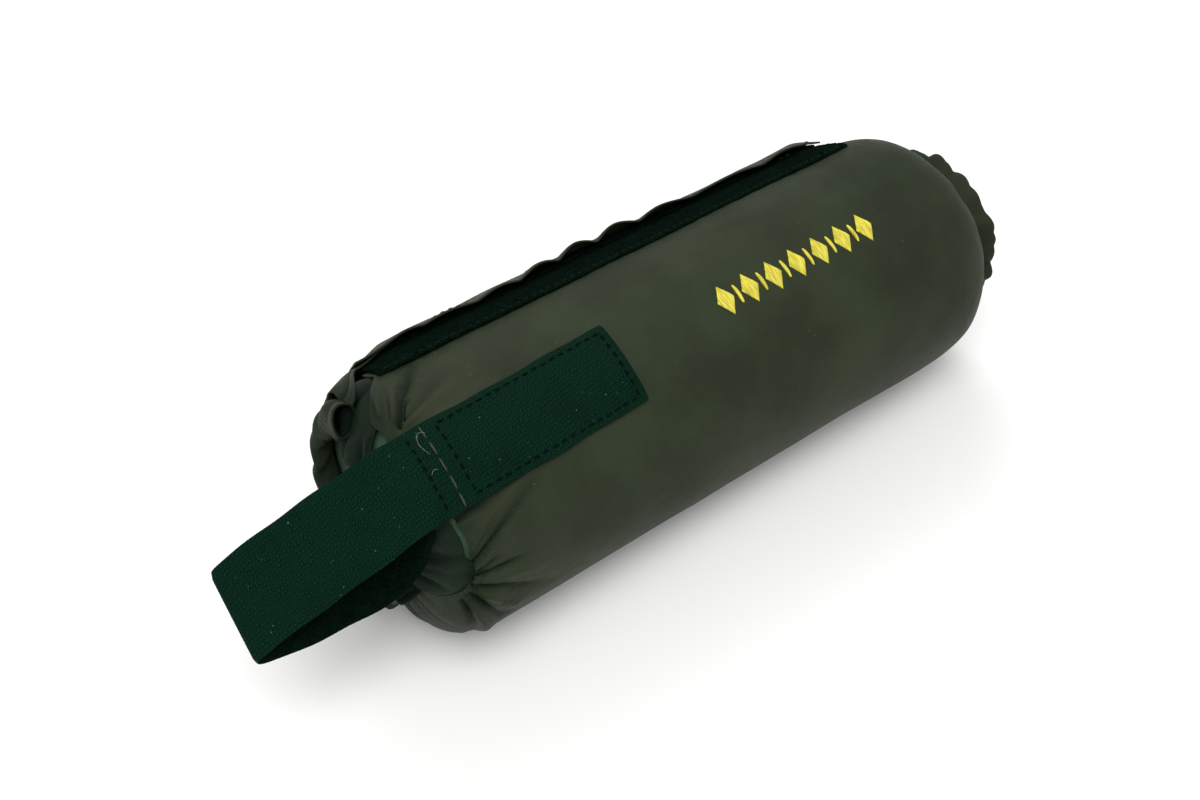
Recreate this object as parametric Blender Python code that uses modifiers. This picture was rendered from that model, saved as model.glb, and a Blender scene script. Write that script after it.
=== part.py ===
"""Training bumper: a foam cylinder in a gathered nylon cover, with a touch-fastener seam and a hand strap.

The part's frame has +Z up and +X from the strap end to the plain end. The sleeve is modelled about its
own axis, as a station x along it, an angle from the front (0 front, 90 top, 180 back, -90 underside) and
a height above the cover's outer face. One empty then carries the sleeve's axis to its place.
"""

import math

import bmesh
import bpy
import numpy as np

# Driving dimensions, in metres and degrees.
COVER_RADIUS = 0.047
SLEEVE_LENGTH = 0.254
COVER_THICKNESS = 0.0008
CORE_CLEARANCE_SHARE = 0.0096
LAYER_GAP = 0.0003
REST_FLAT_WIDTH = 0.020

NEAR_DOME_DEPTH = 0.018
FAR_DOME_DEPTH = 0.026
NEAR_MOUTH_RADIUS = 0.0225
FAR_MOUTH_RADIUS = 0.0235
DOME_ROUNDNESS = 2.2

# The seam: two stiff tapes that lie nearly flat, so they meet in a low ridge behind the top.
SEAM_FRONT_ANGLE = 115.0
SEAM_BACK_ANGLE = 170.0
SEAM_END_INSET = 0.001
RIDGE_FADE = 0.014
RIDGE_FULLNESS = 0.6
FLAP_HINGE_ANGLE = 168.5
FLAP_EDGE_ANGLE = 133.0
FLAP_RISE_ANGLE = 151.0
FLAP_THICKNESS = 0.0008
PILE_TAPE_THICKNESS = 0.0012
HOOK_TAPE_THICKNESS = 0.0009
HOOK_TAPE_NEAR_ANGLE = 135.0
HOOK_TAPE_FAR_ANGLE = 158.0

# The strap end's mouth: the front of the cover stops at the shoulder, the rest is gathered in.
FRONT_EDGE_LOW_ANGLE = 22.0
FRONT_EDGE_HIGH_ANGLE = 104.0
FRONT_EDGE_SPREAD_LOW = 34.0
FRONT_EDGE_SPREAD_HIGH = 62.0
FRONT_EDGE_DOME_ANGLE = 79.0

HEM_WIDTH = 0.0095
HEM_FULLNESS = 0.0040
HEM_WALL = 0.0008
HEM_FLARE = 0.30
HEM_STITCH_SHARE = 0.3
ELASTIC_RADIUS = 0.0009
NEAR_HEM_START = -10.0
NEAR_HEM_END = -228.0
NEAR_ELASTIC_END = -198.0

STRAP_WIDTH = 0.030
STRAP_THICKNESS = 0.0018
STRAP_STANDOFF = 0.0006
STRAP_ANGLE_AT_ROOT = 60.0
STRAP_ANGLE_AT_END = 63.0
STRAP_SEWN_LENGTH = 0.080
STRAP_ROOT_OVERHANG = 0.0113
STRAP_RETURN_LENGTH = 0.0055
STITCH_INSET = 0.0026
THREAD_RADIUS = 0.0003
STITCH_POINTS = 14

# The hand loop's middle line from its root: out along the sleeve, back, up, and turn of its width.
LOOP_ROUTE = (
    (0.0000, 0.0000, 0.0000, 0.0),
    (0.0136, 0.0001, -0.0024, -2.0),
    (0.0301, 0.0003, -0.0069, -5.0),
    (0.0465, 0.0008, -0.0118, -10.0),
    (0.0583, 0.0015, -0.0155, -14.0),
    (0.0632, 0.0020, -0.0182, -16.0),
    (0.0611, 0.0020, -0.0206, -16.0),
    (0.0512, 0.0016, -0.0228, -15.0),
    (0.0348, 0.0012, -0.0247, -14.0),
    (0.0197, 0.0009, -0.0242, -12.0),
    (0.0103, 0.0005, -0.0183, -7.0),
    (0.0052, 0.0008, -0.0082, -2.0),
)

MOTIF_START = 0.001
MOTIF_LENGTH = 0.072
MOTIF_ANGLE = 66.0
LOZENGE_COUNT = 7
LOZENGE_HEIGHT = 0.012
LOZENGE_WIDTH = 0.0072
LOZENGE_STATIONS = (-0.94, -0.5, 0.0, 0.5, 0.94)
BAR_HEIGHT = 0.0075
BAR_WIDTH = 0.0012
EMBROIDERY_THICKNESS = 0.0005

AROUND_STEPS = 64
BARREL_STEPS = 6
DOME_STEPS = 7
SEAM_STEPS = 6
ROUTE_STEPS = 4
STRAP_STEPS = 7
NEAR_HEM_STEPS = 30
FAR_HEM_STEPS = 36

# What follows from them.
HALF_LENGTH = SLEEVE_LENGTH / 2
AXIS_HEIGHT = math.sqrt(COVER_RADIUS**2 - (REST_FLAT_WIDTH / 2) ** 2)
RIDGE_ANGLE = (SEAM_FRONT_ANGLE + SEAM_BACK_ANGLE) / 2
FLAP_LIFT = PILE_TAPE_THICKNESS + HOOK_TAPE_THICKNESS + 3 * LAYER_GAP
CORE_CLEARANCE = CORE_CLEARANCE_SHARE * COVER_RADIUS
SHOULDER_X = (-HALF_LENGTH + NEAR_DOME_DEPTH, HALF_LENGTH - FAR_DOME_DEPTH)
SEAM_X = (SHOULDER_X[0] + SEAM_END_INSET, SHOULDER_X[1] - SEAM_END_INSET)
LOOP_ROOT_X = SHOULDER_X[0] - STRAP_ROOT_OVERHANG
STRAP_RADIUS = COVER_RADIUS + STRAP_STANDOFF
LOOP_REACH = max(point[0] for point in LOOP_ROUTE)
LOOP_END_X = LOOP_ROOT_X - LOOP_REACH - STRAP_THICKNESS / 2
SLEEVE_X = -(LOOP_END_X + HALF_LENGTH + LAYER_GAP + HEM_WIDTH) / 2


def smooth_step(value):
    """0 below 0, 1 above 1, and a smooth rise between."""
    clipped = np.clip(value, 0.0, 1.0)
    return clipped * clipped * (3.0 - 2.0 * clipped)


def ridge_swell(x, angle):
    """The seam's flat faces at an angle, as a share of the round radius, fading past the seam's ends."""
    facing = np.clip(angle, SEAM_FRONT_ANGLE, SEAM_BACK_ANGLE)
    from_tangent = np.minimum(facing - SEAM_FRONT_ANGLE, SEAM_BACK_ANGLE - facing)
    fade = smooth_step((x - SEAM_X[0]) / RIDGE_FADE + 1.0) * smooth_step((SEAM_X[1] - x) / RIDGE_FADE + 1.0)
    return 1.0 + RIDGE_FULLNESS * (1.0 / np.cos(np.radians(from_tangent)) - 1.0) * fade


def sleeve_points(x, angle, height, round_radius=COVER_RADIUS):
    """Points on the wrapped cover: the ridged circle, raised by height, with the underside cut flat."""
    x, angle, height, round_radius = np.broadcast_arrays(x, angle, height, round_radius)
    up = np.sin(np.radians(angle))
    radius = round_radius * ridge_swell(x, np.mod(angle, 360.0)) + height
    floor_radius = (AXIS_HEIGHT + height) / np.maximum(-up, 1e-6)
    radius = np.where(up < 0.0, np.minimum(radius, floor_radius), radius)
    return np.stack([x, -radius * np.cos(np.radians(angle)), radius * up], axis=-1)


def dome_profile(turn, depth, mouth_radius):
    """Distance out from the shoulder, and radius, of a rounded end. Turn is 90 there, 0 at the mouth."""
    power = 2.0 / DOME_ROUNDNESS
    out = depth * np.cos(np.radians(turn)) ** power
    radius = mouth_radius + (COVER_RADIUS - mouth_radius) * np.sin(np.radians(turn)) ** power
    return out, radius


def near_edge_turn(angle):
    """Where the strap end's dome stops: at the mouth, but near the shoulder across the cover's front."""
    middle = (FRONT_EDGE_LOW_ANGLE + FRONT_EDGE_HIGH_ANGLE) / 2
    half = (FRONT_EDGE_HIGH_ANGLE - FRONT_EDGE_LOW_ANGLE) / 2
    off_middle = np.mod(angle - middle + 180.0, 360.0) - 180.0
    spread = np.where(off_middle > 0.0, FRONT_EDGE_SPREAD_HIGH, FRONT_EDGE_SPREAD_LOW)
    return FRONT_EDGE_DOME_ANGLE * (1.0 - smooth_step((np.abs(off_middle) - half) / spread))


def flap_underside(angle):
    """Height of the flap's inner face: level with the cover at its hinge, lifted clear of the tapes."""
    return FLAP_LIFT * smooth_step((FLAP_HINGE_ANGLE - angle) / (FLAP_HINGE_ANGLE - FLAP_RISE_ANGLE))


def along_seam_row(angle):
    """A stitch row on the flap, half a stitch inset in from a tape edge's angle towards the ridge."""
    inset = math.degrees(STITCH_INSET / 2 / COVER_RADIUS)
    row_angle = angle + math.copysign(inset, RIDGE_ANGLE - angle)
    height = flap_underside(row_angle) + FLAP_THICKNESS + LAYER_GAP + THREAD_RADIUS
    x_ends = (SEAM_X[0] + LAYER_GAP + STITCH_INSET, SEAM_X[1] - LAYER_GAP - STITCH_INSET)
    return sleeve_points(np.linspace(*x_ends, STITCH_POINTS), row_angle, height)


def new_material(name, color, roughness, metallic=0.0):
    material = bpy.data.materials.new(name)
    material.use_nodes = True
    shader = material.node_tree.nodes["Principled BSDF"]
    shader.inputs["Base Color"].default_value = (*color, 1.0)
    shader.inputs["Roughness"].default_value = roughness
    shader.inputs["Metallic"].default_value = metallic
    return material


def new_empty(name, location, parent=None):
    empty = bpy.data.objects.new(name, None)
    empty.empty_display_size = 0.01
    empty.location = location
    empty.parent = parent
    parts.objects.link(empty)
    return empty


def new_part(name, data, material, pivot):
    """A part's object, whose data is laid out from its pivot."""
    data.materials.append(material)
    part = bpy.data.objects.new(name, data)
    part.parent = pivot
    parts.objects.link(part)
    return part


def mesh_of(name, points, faces, pivot):
    """A mesh from sleeve coordinates, with its origin at the pivot and its faces outward."""
    offset = np.array(pivot.location) if pivot is not sleeve_axis else np.zeros(3)
    mesh = bpy.data.meshes.new(name)
    mesh.from_pydata((np.asarray(points) - offset).tolist(), [], faces)
    shape = bmesh.new()
    shape.from_mesh(mesh)
    bmesh.ops.recalc_face_normals(shape, faces=shape.faces)
    shape.to_mesh(mesh)
    shape.free()
    mesh.shade_smooth()
    mesh.set_sharp_from_angle(angle=math.radians(40))
    return mesh


def loft(name, rings, material, pivot, joined=False):
    """A solid through closed rings of equal count. Its ends are capped, or joined to each other."""
    rings = np.asarray(rings)
    count, around = rings.shape[:2]
    faces = []
    for row in range(count if joined else count - 1):
        here, there = row * around, (row + 1) % count * around
        for i in range(around):
            j = (i + 1) % around
            faces.append((here + i, here + j, there + j, there + i))
    if not joined:
        faces.append(tuple(range(around)))
        faces.append(tuple(range((count - 1) * around, count * around)))
    return new_part(name, mesh_of(name, rings.reshape(-1, 3), faces, pivot), material, pivot)


def layer(name, stations, angles, low, high, material, pivot):
    """A sheet wrapped on the sleeve, between two heights. Its angles are one row, or one row per station."""
    rings = []
    for x, here in zip(stations, np.broadcast_to(angles, (len(stations), np.shape(angles)[-1]))):
        inner, outer = sleeve_points(x, here, low), sleeve_points(x, here, high)
        rings.append(np.concatenate([inner, outer[::-1]]))
    return loft(name, rings, material, pivot)


def thread(name, points, material, pivot, radius=THREAD_RADIUS, closed=False):
    """A round thread or elastic through points given in sleeve coordinates."""
    offset = np.array(pivot.location) if pivot is not sleeve_axis else np.zeros(3)
    curve = bpy.data.curves.new(name, "CURVE")
    curve.dimensions = "3D"
    curve.bevel_depth = radius
    curve.bevel_resolution = 1
    curve.use_fill_caps = not closed
    spline = curve.splines.new("POLY")
    spline.points.add(len(points) - 1)
    for point, place in zip(spline.points, np.asarray(points) - offset):
        point.co = (*place, 1.0)
    spline.use_cyclic_u = closed
    return new_part(name, curve, material, pivot)


# Scene set-up: one collection for the parts and one for the cutters.
for item in list(bpy.data.objects):
    bpy.data.objects.remove(item, do_unlink=True)
parts = bpy.data.collections.new("training_bumper")
cutters = bpy.data.collections.new("cutters")
bpy.context.scene.collection.children.link(parts)
bpy.context.scene.collection.children.link(cutters)

nylon = new_material("coated_nylon", (0.042, 0.058, 0.036), 0.55)
foam = new_material("foam", (0.070, 0.140, 0.078), 0.85)
hook_tape = new_material("hook_tape", (0.006, 0.030, 0.018), 0.80)
pile_tape = new_material("pile_tape", (0.003, 0.014, 0.009), 0.95)
elastic = new_material("elastic", (0.020, 0.030, 0.022), 0.80)
dark_thread = new_material("dark_thread", (0.006, 0.012, 0.008), 0.60)
brown_thread = new_material("brown_thread", (0.090, 0.085, 0.050), 0.60)
yellow_thread = new_material("yellow_thread", (0.62, 0.52, 0.07), 0.40)

# The flap stands a little proud of the round cover at the back, so the sleeve moves forward by half of that.
flap_back = max(along_seam_row(HOOK_TAPE_FAR_ANGLE)[0, 1] + THREAD_RADIUS, COVER_RADIUS)
sleeve_axis = new_empty("sleeve_axis", (SLEEVE_X, (COVER_RADIUS - flap_back) / 2, AXIS_HEIGHT))


# Foam core: a turned cylinder with rounded ends, cut flat underneath.
def build_core():
    """The cover's own profile, inset by the cover's thickness and clearance, turned about the axis."""
    inset = COVER_THICKNESS + CORE_CLEARANCE
    turns = np.linspace(0.0, 90.0, DOME_STEPS + 1)
    power = 2.0 / DOME_ROUNDNESS
    outline = [(0.0, HALF_LENGTH - inset)]
    ends = ((1, FAR_DOME_DEPTH, FAR_MOUTH_RADIUS), (-1, NEAR_DOME_DEPTH, NEAR_MOUTH_RADIUS))
    for side, depth, mouth in ends:
        for turn in np.radians(turns[::side]):
            radius = mouth + (COVER_RADIUS - mouth - inset) * math.sin(turn) ** power
            out = (depth - inset) * max(math.cos(turn), 0.0) ** power
            outline.append((radius, side * (HALF_LENGTH - depth + out)))
    outline.append((0.0, -HALF_LENGTH + inset))
    mesh = bpy.data.meshes.new("foam_core")
    edges = [(i, i + 1) for i in range(len(outline) - 1)]
    mesh.from_pydata([(radius, 0.0, z) for radius, z in outline], edges, [])
    core = new_part("foam_core", mesh, foam, sleeve_axis)
    core.rotation_euler = (0.0, math.pi / 2, 0.0)
    turned = core.modifiers.new("turn", "SCREW")
    turned.steps = turned.render_steps = AROUND_STEPS
    turned.use_merge_vertices = True
    turned.merge_threshold = 1e-5

    bpy.ops.mesh.primitive_cube_add(size=1.0)
    cutter = bpy.context.active_object
    cutter.name = "core_flat_cutter"
    cutter.scale = (2 * SLEEVE_LENGTH, 4 * COVER_RADIUS, COVER_RADIUS)
    cutter.location = (SLEEVE_X, 0.0, inset - COVER_RADIUS / 2)
    cutter.hide_render = True
    cutter.display_type = "WIRE"
    for collection in cutter.users_collection:
        collection.objects.unlink(cutter)
    cutters.objects.link(cutter)
    flat = core.modifiers.new("flat", "BOOLEAN")
    flat.operation = "DIFFERENCE"
    flat.solver = "EXACT"
    flat.object = cutter


# Cover: one panel of coated nylon, wrapped round with a window where the flap closes it.
def build_cover():
    """A grid of meridians and rings, open at the two mouths and at the flap, and given its thickness."""
    flat_angle = math.degrees(math.asin(REST_FLAT_WIDTH / 2 / COVER_RADIUS))
    window = (RIDGE_ANGLE, FLAP_HINGE_ANGLE)
    keep = (SEAM_FRONT_ANGLE, *window, SEAM_BACK_ANGLE, 270.0 - flat_angle, 270.0 + flat_angle)
    even = np.arange(AROUND_STEPS) * 360.0 / AROUND_STEPS
    too_close = 0.4 * 360.0 / AROUND_STEPS
    even = [a for a in even if all(abs(a - kept) > too_close for kept in keep)]
    angles = np.array(sorted([*even, *keep]))

    rows = []
    for step in np.linspace(0.0, 1.0, DOME_STEPS + 1)[:-1]:
        edge = near_edge_turn(angles)
        out, radius = dome_profile(edge + (90.0 - edge) * step, NEAR_DOME_DEPTH, NEAR_MOUTH_RADIUS)
        rows.append(sleeve_points(SHOULDER_X[0] - out, angles, 0.0, radius))
    barrel = [SHOULDER_X[0], *np.linspace(*SEAM_X, BARREL_STEPS), SHOULDER_X[1]]
    first_window_row = len(rows) + 1
    last_window_row = len(rows) + len(barrel) - 3
    rows += [sleeve_points(x, angles, 0.0) for x in barrel]
    for step in np.linspace(0.0, 1.0, DOME_STEPS + 1)[1:]:
        out, radius = dome_profile(90.0 * (1.0 - step), FAR_DOME_DEPTH, FAR_MOUTH_RADIUS)
        rows.append(sleeve_points(SHOULDER_X[1] + out, angles, 0.0, radius))

    around = len(angles)
    window_columns = [i for i in range(around) if window[0] <= angles[i] < window[1]]
    faces = []
    for row in range(len(rows) - 1):
        for i in range(around):
            if first_window_row <= row <= last_window_row and i in window_columns:
                continue
            j = (i + 1) % around
            here, there = row * around, (row + 1) * around
            faces.append((here + i, here + j, there + j, there + i))
    mesh = mesh_of("cover_panel", np.concatenate(rows), faces, sleeve_axis)
    cover = new_part("cover_panel", mesh, nylon, sleeve_axis)
    wall = cover.modifiers.new("wall", "SOLIDIFY")
    wall.thickness = COVER_THICKNESS
    wall.offset = -1.0


# Hems: a folded channel round each mouth, open at its stitched side, with an elastic lying in it.
def hem_section():
    """The fold as a hairpin outline: distance out from the mouth, and distance across."""
    outer, inner = HEM_FULLNESS / 2, HEM_FULLNESS / 2 - HEM_WALL
    bend = HEM_WIDTH - outer
    arc = np.radians(np.linspace(90.0, -90.0, 5))
    fold_out = [(bend + outer * math.cos(a), outer * math.sin(a)) for a in arc]
    fold_in = [(bend + inner * math.cos(a), inner * math.sin(a)) for a in arc[::-1]]
    return np.array([(0.0, outer), *fold_out, (0.0, -outer), (0.0, -inner), *fold_in, (0.0, inner)])


def hem_points(side, angle, out, across):
    """Points of a hem, carried along the mouth's own edge and flaring a little outward."""
    if side < 0:
        back, radius = dome_profile(near_edge_turn(angle), NEAR_DOME_DEPTH, NEAR_MOUTH_RADIUS)
        x = SHOULDER_X[0] - back
    else:
        x, radius = HALF_LENGTH, FAR_MOUTH_RADIUS
    radius = radius + HEM_FLARE * out + across
    turned = np.radians(angle)
    reach = x + side * (LAYER_GAP + out)
    return np.stack(np.broadcast_arrays(reach, -radius * np.cos(turned), radius * np.sin(turned)), axis=-1)


def build_hems():
    section = hem_section()
    elastic_out = HEM_WIDTH - HEM_FULLNESS / 2
    near = np.linspace(NEAR_HEM_START, NEAR_HEM_END, NEAR_HEM_STEPS)
    far = np.linspace(0.0, 360.0, FAR_HEM_STEPS, endpoint=False)
    for side, name, angles in ((-1, "near", near), (1, "far", far)):
        rings = [hem_points(side, angle, section[:, 0], section[:, 1]) for angle in angles]
        whole = side > 0
        loft(f"{name}_hem", rings, nylon, sleeve_axis, joined=whole)
        held = angles if whole else angles[angles >= NEAR_ELASTIC_END]
        line = hem_points(side, held, elastic_out, 0.0)
        thread(f"{name}_elastic", line, elastic, sleeve_axis, ELASTIC_RADIUS, closed=whole)
        stitch_across = HEM_FULLNESS / 2 + LAYER_GAP + THREAD_RADIUS
        seam = hem_points(side, angles, HEM_STITCH_SHARE * HEM_WIDTH, stitch_across)
        thread(f"{name}_hem_stitch", seam, dark_thread, sleeve_axis, closed=whole)


# Seam: the pile tape on the front edge, and the hinged flap with the hook tape under it.
def seam_angles(first, last):
    """Angles across a seam layer. Layers share the inner ones, so that none crosses another."""
    shared, step = np.linspace(SEAM_FRONT_ANGLE, SEAM_BACK_ANGLE, 2 * SEAM_STEPS + 1, retstep=True)
    inner = shared[(shared > first + step / 8) & (shared < last - step / 8)]
    return np.array([first, *inner, last])


def build_seam():
    tape_edge = math.degrees(LAYER_GAP / COVER_RADIUS)
    pile_top = LAYER_GAP + PILE_TAPE_THICKNESS
    pile_x = (SEAM_X[0] + LAYER_GAP, SEAM_X[1] - LAYER_GAP)
    stations = np.linspace(*pile_x, 4)
    pile_angles = seam_angles(SEAM_FRONT_ANGLE, RIDGE_ANGLE - tape_edge)
    layer("closure_pile_tape", stations, pile_angles, LAYER_GAP, pile_top, pile_tape, sleeve_axis)

    front_angle = SEAM_FRONT_ANGLE + math.degrees(STITCH_INSET / 2 / COVER_RADIUS)
    front_x = np.linspace(pile_x[0] + STITCH_INSET, pile_x[1] - STITCH_INSET, STITCH_POINTS)
    front_row = sleeve_points(front_x, front_angle, pile_top + LAYER_GAP + THREAD_RADIUS)
    thread("pile_tape_stitch", front_row, dark_thread, sleeve_axis)

    flap_angles = seam_angles(FLAP_EDGE_ANGLE, FLAP_HINGE_ANGLE - tape_edge)
    flap_low = flap_underside(flap_angles)
    layer("closure_flap", stations, flap_angles, flap_low, flap_low + FLAP_THICKNESS, nylon, flap_hinge)

    hook_angles = seam_angles(HOOK_TAPE_NEAR_ANGLE, HOOK_TAPE_FAR_ANGLE)
    hook_top = flap_underside(hook_angles) - LAYER_GAP
    hook_low = hook_top - HOOK_TAPE_THICKNESS
    layer("closure_hook_tape", stations, hook_angles, hook_low, hook_top, hook_tape, flap_hinge)

    thread("flap_edge_stitch", along_seam_row(HOOK_TAPE_NEAR_ANGLE), dark_thread, flap_hinge)
    thread("flap_inner_stitch", along_seam_row(HOOK_TAPE_FAR_ANGLE), dark_thread, flap_hinge)


# Strap: one tape, box-stitched to the cover, carried out into a hand loop and sewn back under itself.
def strap_angle(x):
    """The strap's middle: sewn on slightly askew, so its angle eases from the root to its sewn end."""
    share = np.clip((x - LOOP_ROOT_X) / STRAP_SEWN_LENGTH, 0.0, 1.0)
    return STRAP_ANGLE_AT_ROOT + (STRAP_ANGLE_AT_END - STRAP_ANGLE_AT_ROOT) * share


def strap_layer(name, x_ends, bottom_radius, thickness, material):
    """A stretch of strap wrapped round the sleeve at its full width."""
    half_angle = math.degrees(STRAP_WIDTH / 2 / (bottom_radius + thickness / 2))
    across = np.linspace(-half_angle, half_angle, STRAP_STEPS)
    rings = []
    for x in np.linspace(*x_ends, STRAP_STEPS):
        turned = np.radians(strap_angle(x) + across)
        inner, outer = (
            np.stack([np.full(STRAP_STEPS, x), -radius * np.cos(turned), radius * np.sin(turned)], axis=-1)
            for radius in (bottom_radius, bottom_radius + thickness)
        )
        rings.append(np.concatenate([inner, outer[::-1]]))
    loft(name, rings, material, sleeve_axis)


def strap_line(xs, across):
    """Points just over the sewn strap, at a distance across from its middle."""
    radius = STRAP_RADIUS + STRAP_THICKNESS + LAYER_GAP + THREAD_RADIUS
    turned = np.radians(strap_angle(xs)) + across / radius
    return np.stack(np.broadcast_arrays(xs, -radius * np.cos(turned), radius * np.sin(turned)), axis=-1)


def smooth_route(points, steps):
    """A curve through every point, with each tangent set by the point's neighbours (Catmull-Rom)."""
    points = np.vstack([2 * points[0] - points[1], points, 2 * points[-1] - points[-2]])
    share = np.linspace(0.0, 1.0, steps, endpoint=False)[:, None]
    runs = []
    for before, start, end, after in zip(points, points[1:], points[2:], points[3:]):
        square, cube = share**2, share**3
        runs.append(
            start
            + 0.5 * (end - before) * share
            + (before - 2.5 * start + 2 * end - 0.5 * after) * square
            + (1.5 * (start - end) + 0.5 * (after - before)) * cube
        )
    return np.vstack([*runs, points[-2:-1]])


def build_strap():
    strap_layer(
        "strap_sewn_leg",
        (LOOP_ROOT_X + LAYER_GAP, LOOP_ROOT_X + STRAP_SEWN_LENGTH),
        STRAP_RADIUS,
        STRAP_THICKNESS,
        hook_tape,
    )
    return_x = (LOOP_ROOT_X + LAYER_GAP, LOOP_ROOT_X + LAYER_GAP + STRAP_RETURN_LENGTH)
    return_radius = STRAP_RADIUS - LAYER_GAP - STRAP_THICKNESS
    strap_layer("strap_return_end", return_x, return_radius, STRAP_THICKNESS, hook_tape)

    # The loop runs from the sewn leg's end to the returned end, its width turning as it hangs.
    root_angle = math.radians(STRAP_ANGLE_AT_ROOT)
    root_radius = STRAP_RADIUS + STRAP_THICKNESS / 2
    step_in = STRAP_THICKNESS + LAYER_GAP
    outward = np.array([0.0, -math.cos(root_angle), math.sin(root_angle)])
    last = (0.0, -step_in * outward[1], -step_in * outward[2], 0.0)
    controls = np.array([*LOOP_ROUTE, last])
    route = smooth_route(controls, ROUTE_STEPS)
    root = np.array([LOOP_ROOT_X, 0.0, 0.0]) + root_radius * outward
    middle = root + route[:, :3] * (-1.0, 1.0, 1.0)
    turned = root_angle + np.radians(route[:, 3])
    width = np.stack([0 * turned, np.sin(turned), np.cos(turned)], axis=-1)
    along = np.gradient(middle, axis=0)
    along[0] = (-1.0, 0.0, 0.0)
    along[-1] = (1.0, 0.0, 0.0)
    normal = np.cross(width, along)
    normal /= np.linalg.norm(normal, axis=1, keepdims=True)
    side, face = STRAP_WIDTH / 2 * width, STRAP_THICKNESS / 2 * normal
    near_edge, far_edge = middle - side, middle + side
    rings = np.stack([far_edge + face, far_edge - face, near_edge - face, near_edge + face], 1)
    loft("strap_loop", rings, hook_tape, loop_hinge)

    # Stitching: a box round the sewn leg, and two rows across it at the cover's edge and the returned end.
    inside = STRAP_WIDTH / 2 - STITCH_INSET
    box_x = (SHOULDER_X[0] - THREAD_RADIUS + STITCH_INSET, LOOP_ROOT_X + STRAP_SEWN_LENGTH - STITCH_INSET)
    runs = np.linspace(*box_x, 8)
    across = np.linspace(-inside, inside, 6)
    low, high = strap_line(runs, -inside), strap_line(runs[::-1], inside)
    end, start = strap_line(box_x[1], across[1:-1]), strap_line(box_x[0], across[1:-1][::-1])
    thread("strap_box_stitch", [*low, *end, *high, *start], dark_thread, sleeve_axis, closed=True)
    cover_edge_x = SHOULDER_X[0] - STITCH_INSET
    full = np.linspace(-STRAP_WIDTH / 2, STRAP_WIDTH / 2, 9)
    thread("strap_cover_edge_stitch", strap_line(cover_edge_x, full), brown_thread, sleeve_axis)
    return_stitch_x = LOOP_ROOT_X + STRAP_RETURN_LENGTH / 2
    thread("strap_return_stitch", strap_line(return_stitch_x, across), dark_thread, sleeve_axis)


# Embroidery: a plain row of satin-stitched lozenges with a slim bar between each two.
def build_embroidery():
    pitch = (MOTIF_LENGTH - LOZENGE_WIDTH) / (LOZENGE_COUNT - 1)
    top = LAYER_GAP + EMBROIDERY_THICKNESS
    for index in range(LOZENGE_COUNT):
        middle = MOTIF_START + LOZENGE_WIDTH / 2 + index * pitch
        along = np.array(LOZENGE_STATIONS)
        half = math.degrees(LOZENGE_HEIGHT / 2 / COVER_RADIUS) * (1.0 - np.abs(along))
        angles = MOTIF_ANGLE + half[:, None] * np.linspace(-1.0, 1.0, 4)
        stations = middle + LOZENGE_WIDTH / 2 * along
        name = f"embroidered_lozenge_{index + 1}"
        layer(name, stations, angles, LAYER_GAP, top, yellow_thread, sleeve_axis)
        if index == LOZENGE_COUNT - 1:
            continue
        bar = middle + pitch / 2
        ends = (bar - BAR_WIDTH / 2, bar + BAR_WIDTH / 2)
        half = math.degrees(BAR_HEIGHT / 2 / COVER_RADIUS)
        angles = MOTIF_ANGLE + half * np.linspace(-1.0, 1.0, 4)
        layer(f"embroidered_bar_{index + 1}", ends, angles, LAYER_GAP, top, yellow_thread, sleeve_axis)


# Each hinge lies on the outer face of what bends there, so that nothing turns into what it is sewn to.
hinge_turn = math.radians(FLAP_HINGE_ANGLE)
flap_radius = COVER_RADIUS + FLAP_THICKNESS
flap_hinge_place = (0.0, -flap_radius * math.cos(hinge_turn), flap_radius * math.sin(hinge_turn))
flap_hinge = new_empty("flap_hinge", flap_hinge_place, sleeve_axis)
root_turn = math.radians(STRAP_ANGLE_AT_ROOT)
loop_radius = STRAP_RADIUS + STRAP_THICKNESS
loop_hinge_place = (LOOP_ROOT_X, -loop_radius * math.cos(root_turn), loop_radius * math.sin(root_turn))
loop_hinge = new_empty("loop_hinge", loop_hinge_place, sleeve_axis)

build_core()
build_cover()
build_hems()
build_seam()
build_strap()
build_embroidery()
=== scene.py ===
"""Training bumper: a foam cylinder in a gathered nylon cover, with a touch-fastener seam and a hand strap."""

import bmesh
import bpy
import numpy as np
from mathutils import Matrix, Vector


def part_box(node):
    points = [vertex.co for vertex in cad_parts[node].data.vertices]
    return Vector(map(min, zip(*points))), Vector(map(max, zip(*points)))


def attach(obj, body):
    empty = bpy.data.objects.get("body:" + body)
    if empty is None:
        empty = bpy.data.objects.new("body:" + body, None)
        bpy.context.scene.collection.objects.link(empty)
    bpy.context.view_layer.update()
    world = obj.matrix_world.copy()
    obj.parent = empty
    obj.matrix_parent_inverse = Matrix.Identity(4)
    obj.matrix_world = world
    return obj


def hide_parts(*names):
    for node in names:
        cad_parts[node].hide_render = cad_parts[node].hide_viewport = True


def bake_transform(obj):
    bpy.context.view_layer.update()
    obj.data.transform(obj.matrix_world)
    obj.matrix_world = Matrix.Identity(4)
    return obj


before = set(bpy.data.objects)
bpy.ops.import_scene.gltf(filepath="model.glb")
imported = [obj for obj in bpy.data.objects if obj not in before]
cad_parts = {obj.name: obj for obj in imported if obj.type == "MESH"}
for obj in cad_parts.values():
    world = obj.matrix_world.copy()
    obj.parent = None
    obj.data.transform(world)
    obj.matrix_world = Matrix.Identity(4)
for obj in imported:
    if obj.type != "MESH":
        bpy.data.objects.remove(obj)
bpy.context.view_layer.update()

# ---------------------------------------------------------------------------------------------------------
# The sleeve's axis. Every fabric piece is laid out from it: x along it, an angle round it that is 0 at the
# front, 90 at the top and -90 underneath, and a distance out from it. The round part is found from the
# cover's box, whose underside is flat for 10 mm either side of the middle.
REST_HALF_WIDTH = 0.010
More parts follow.
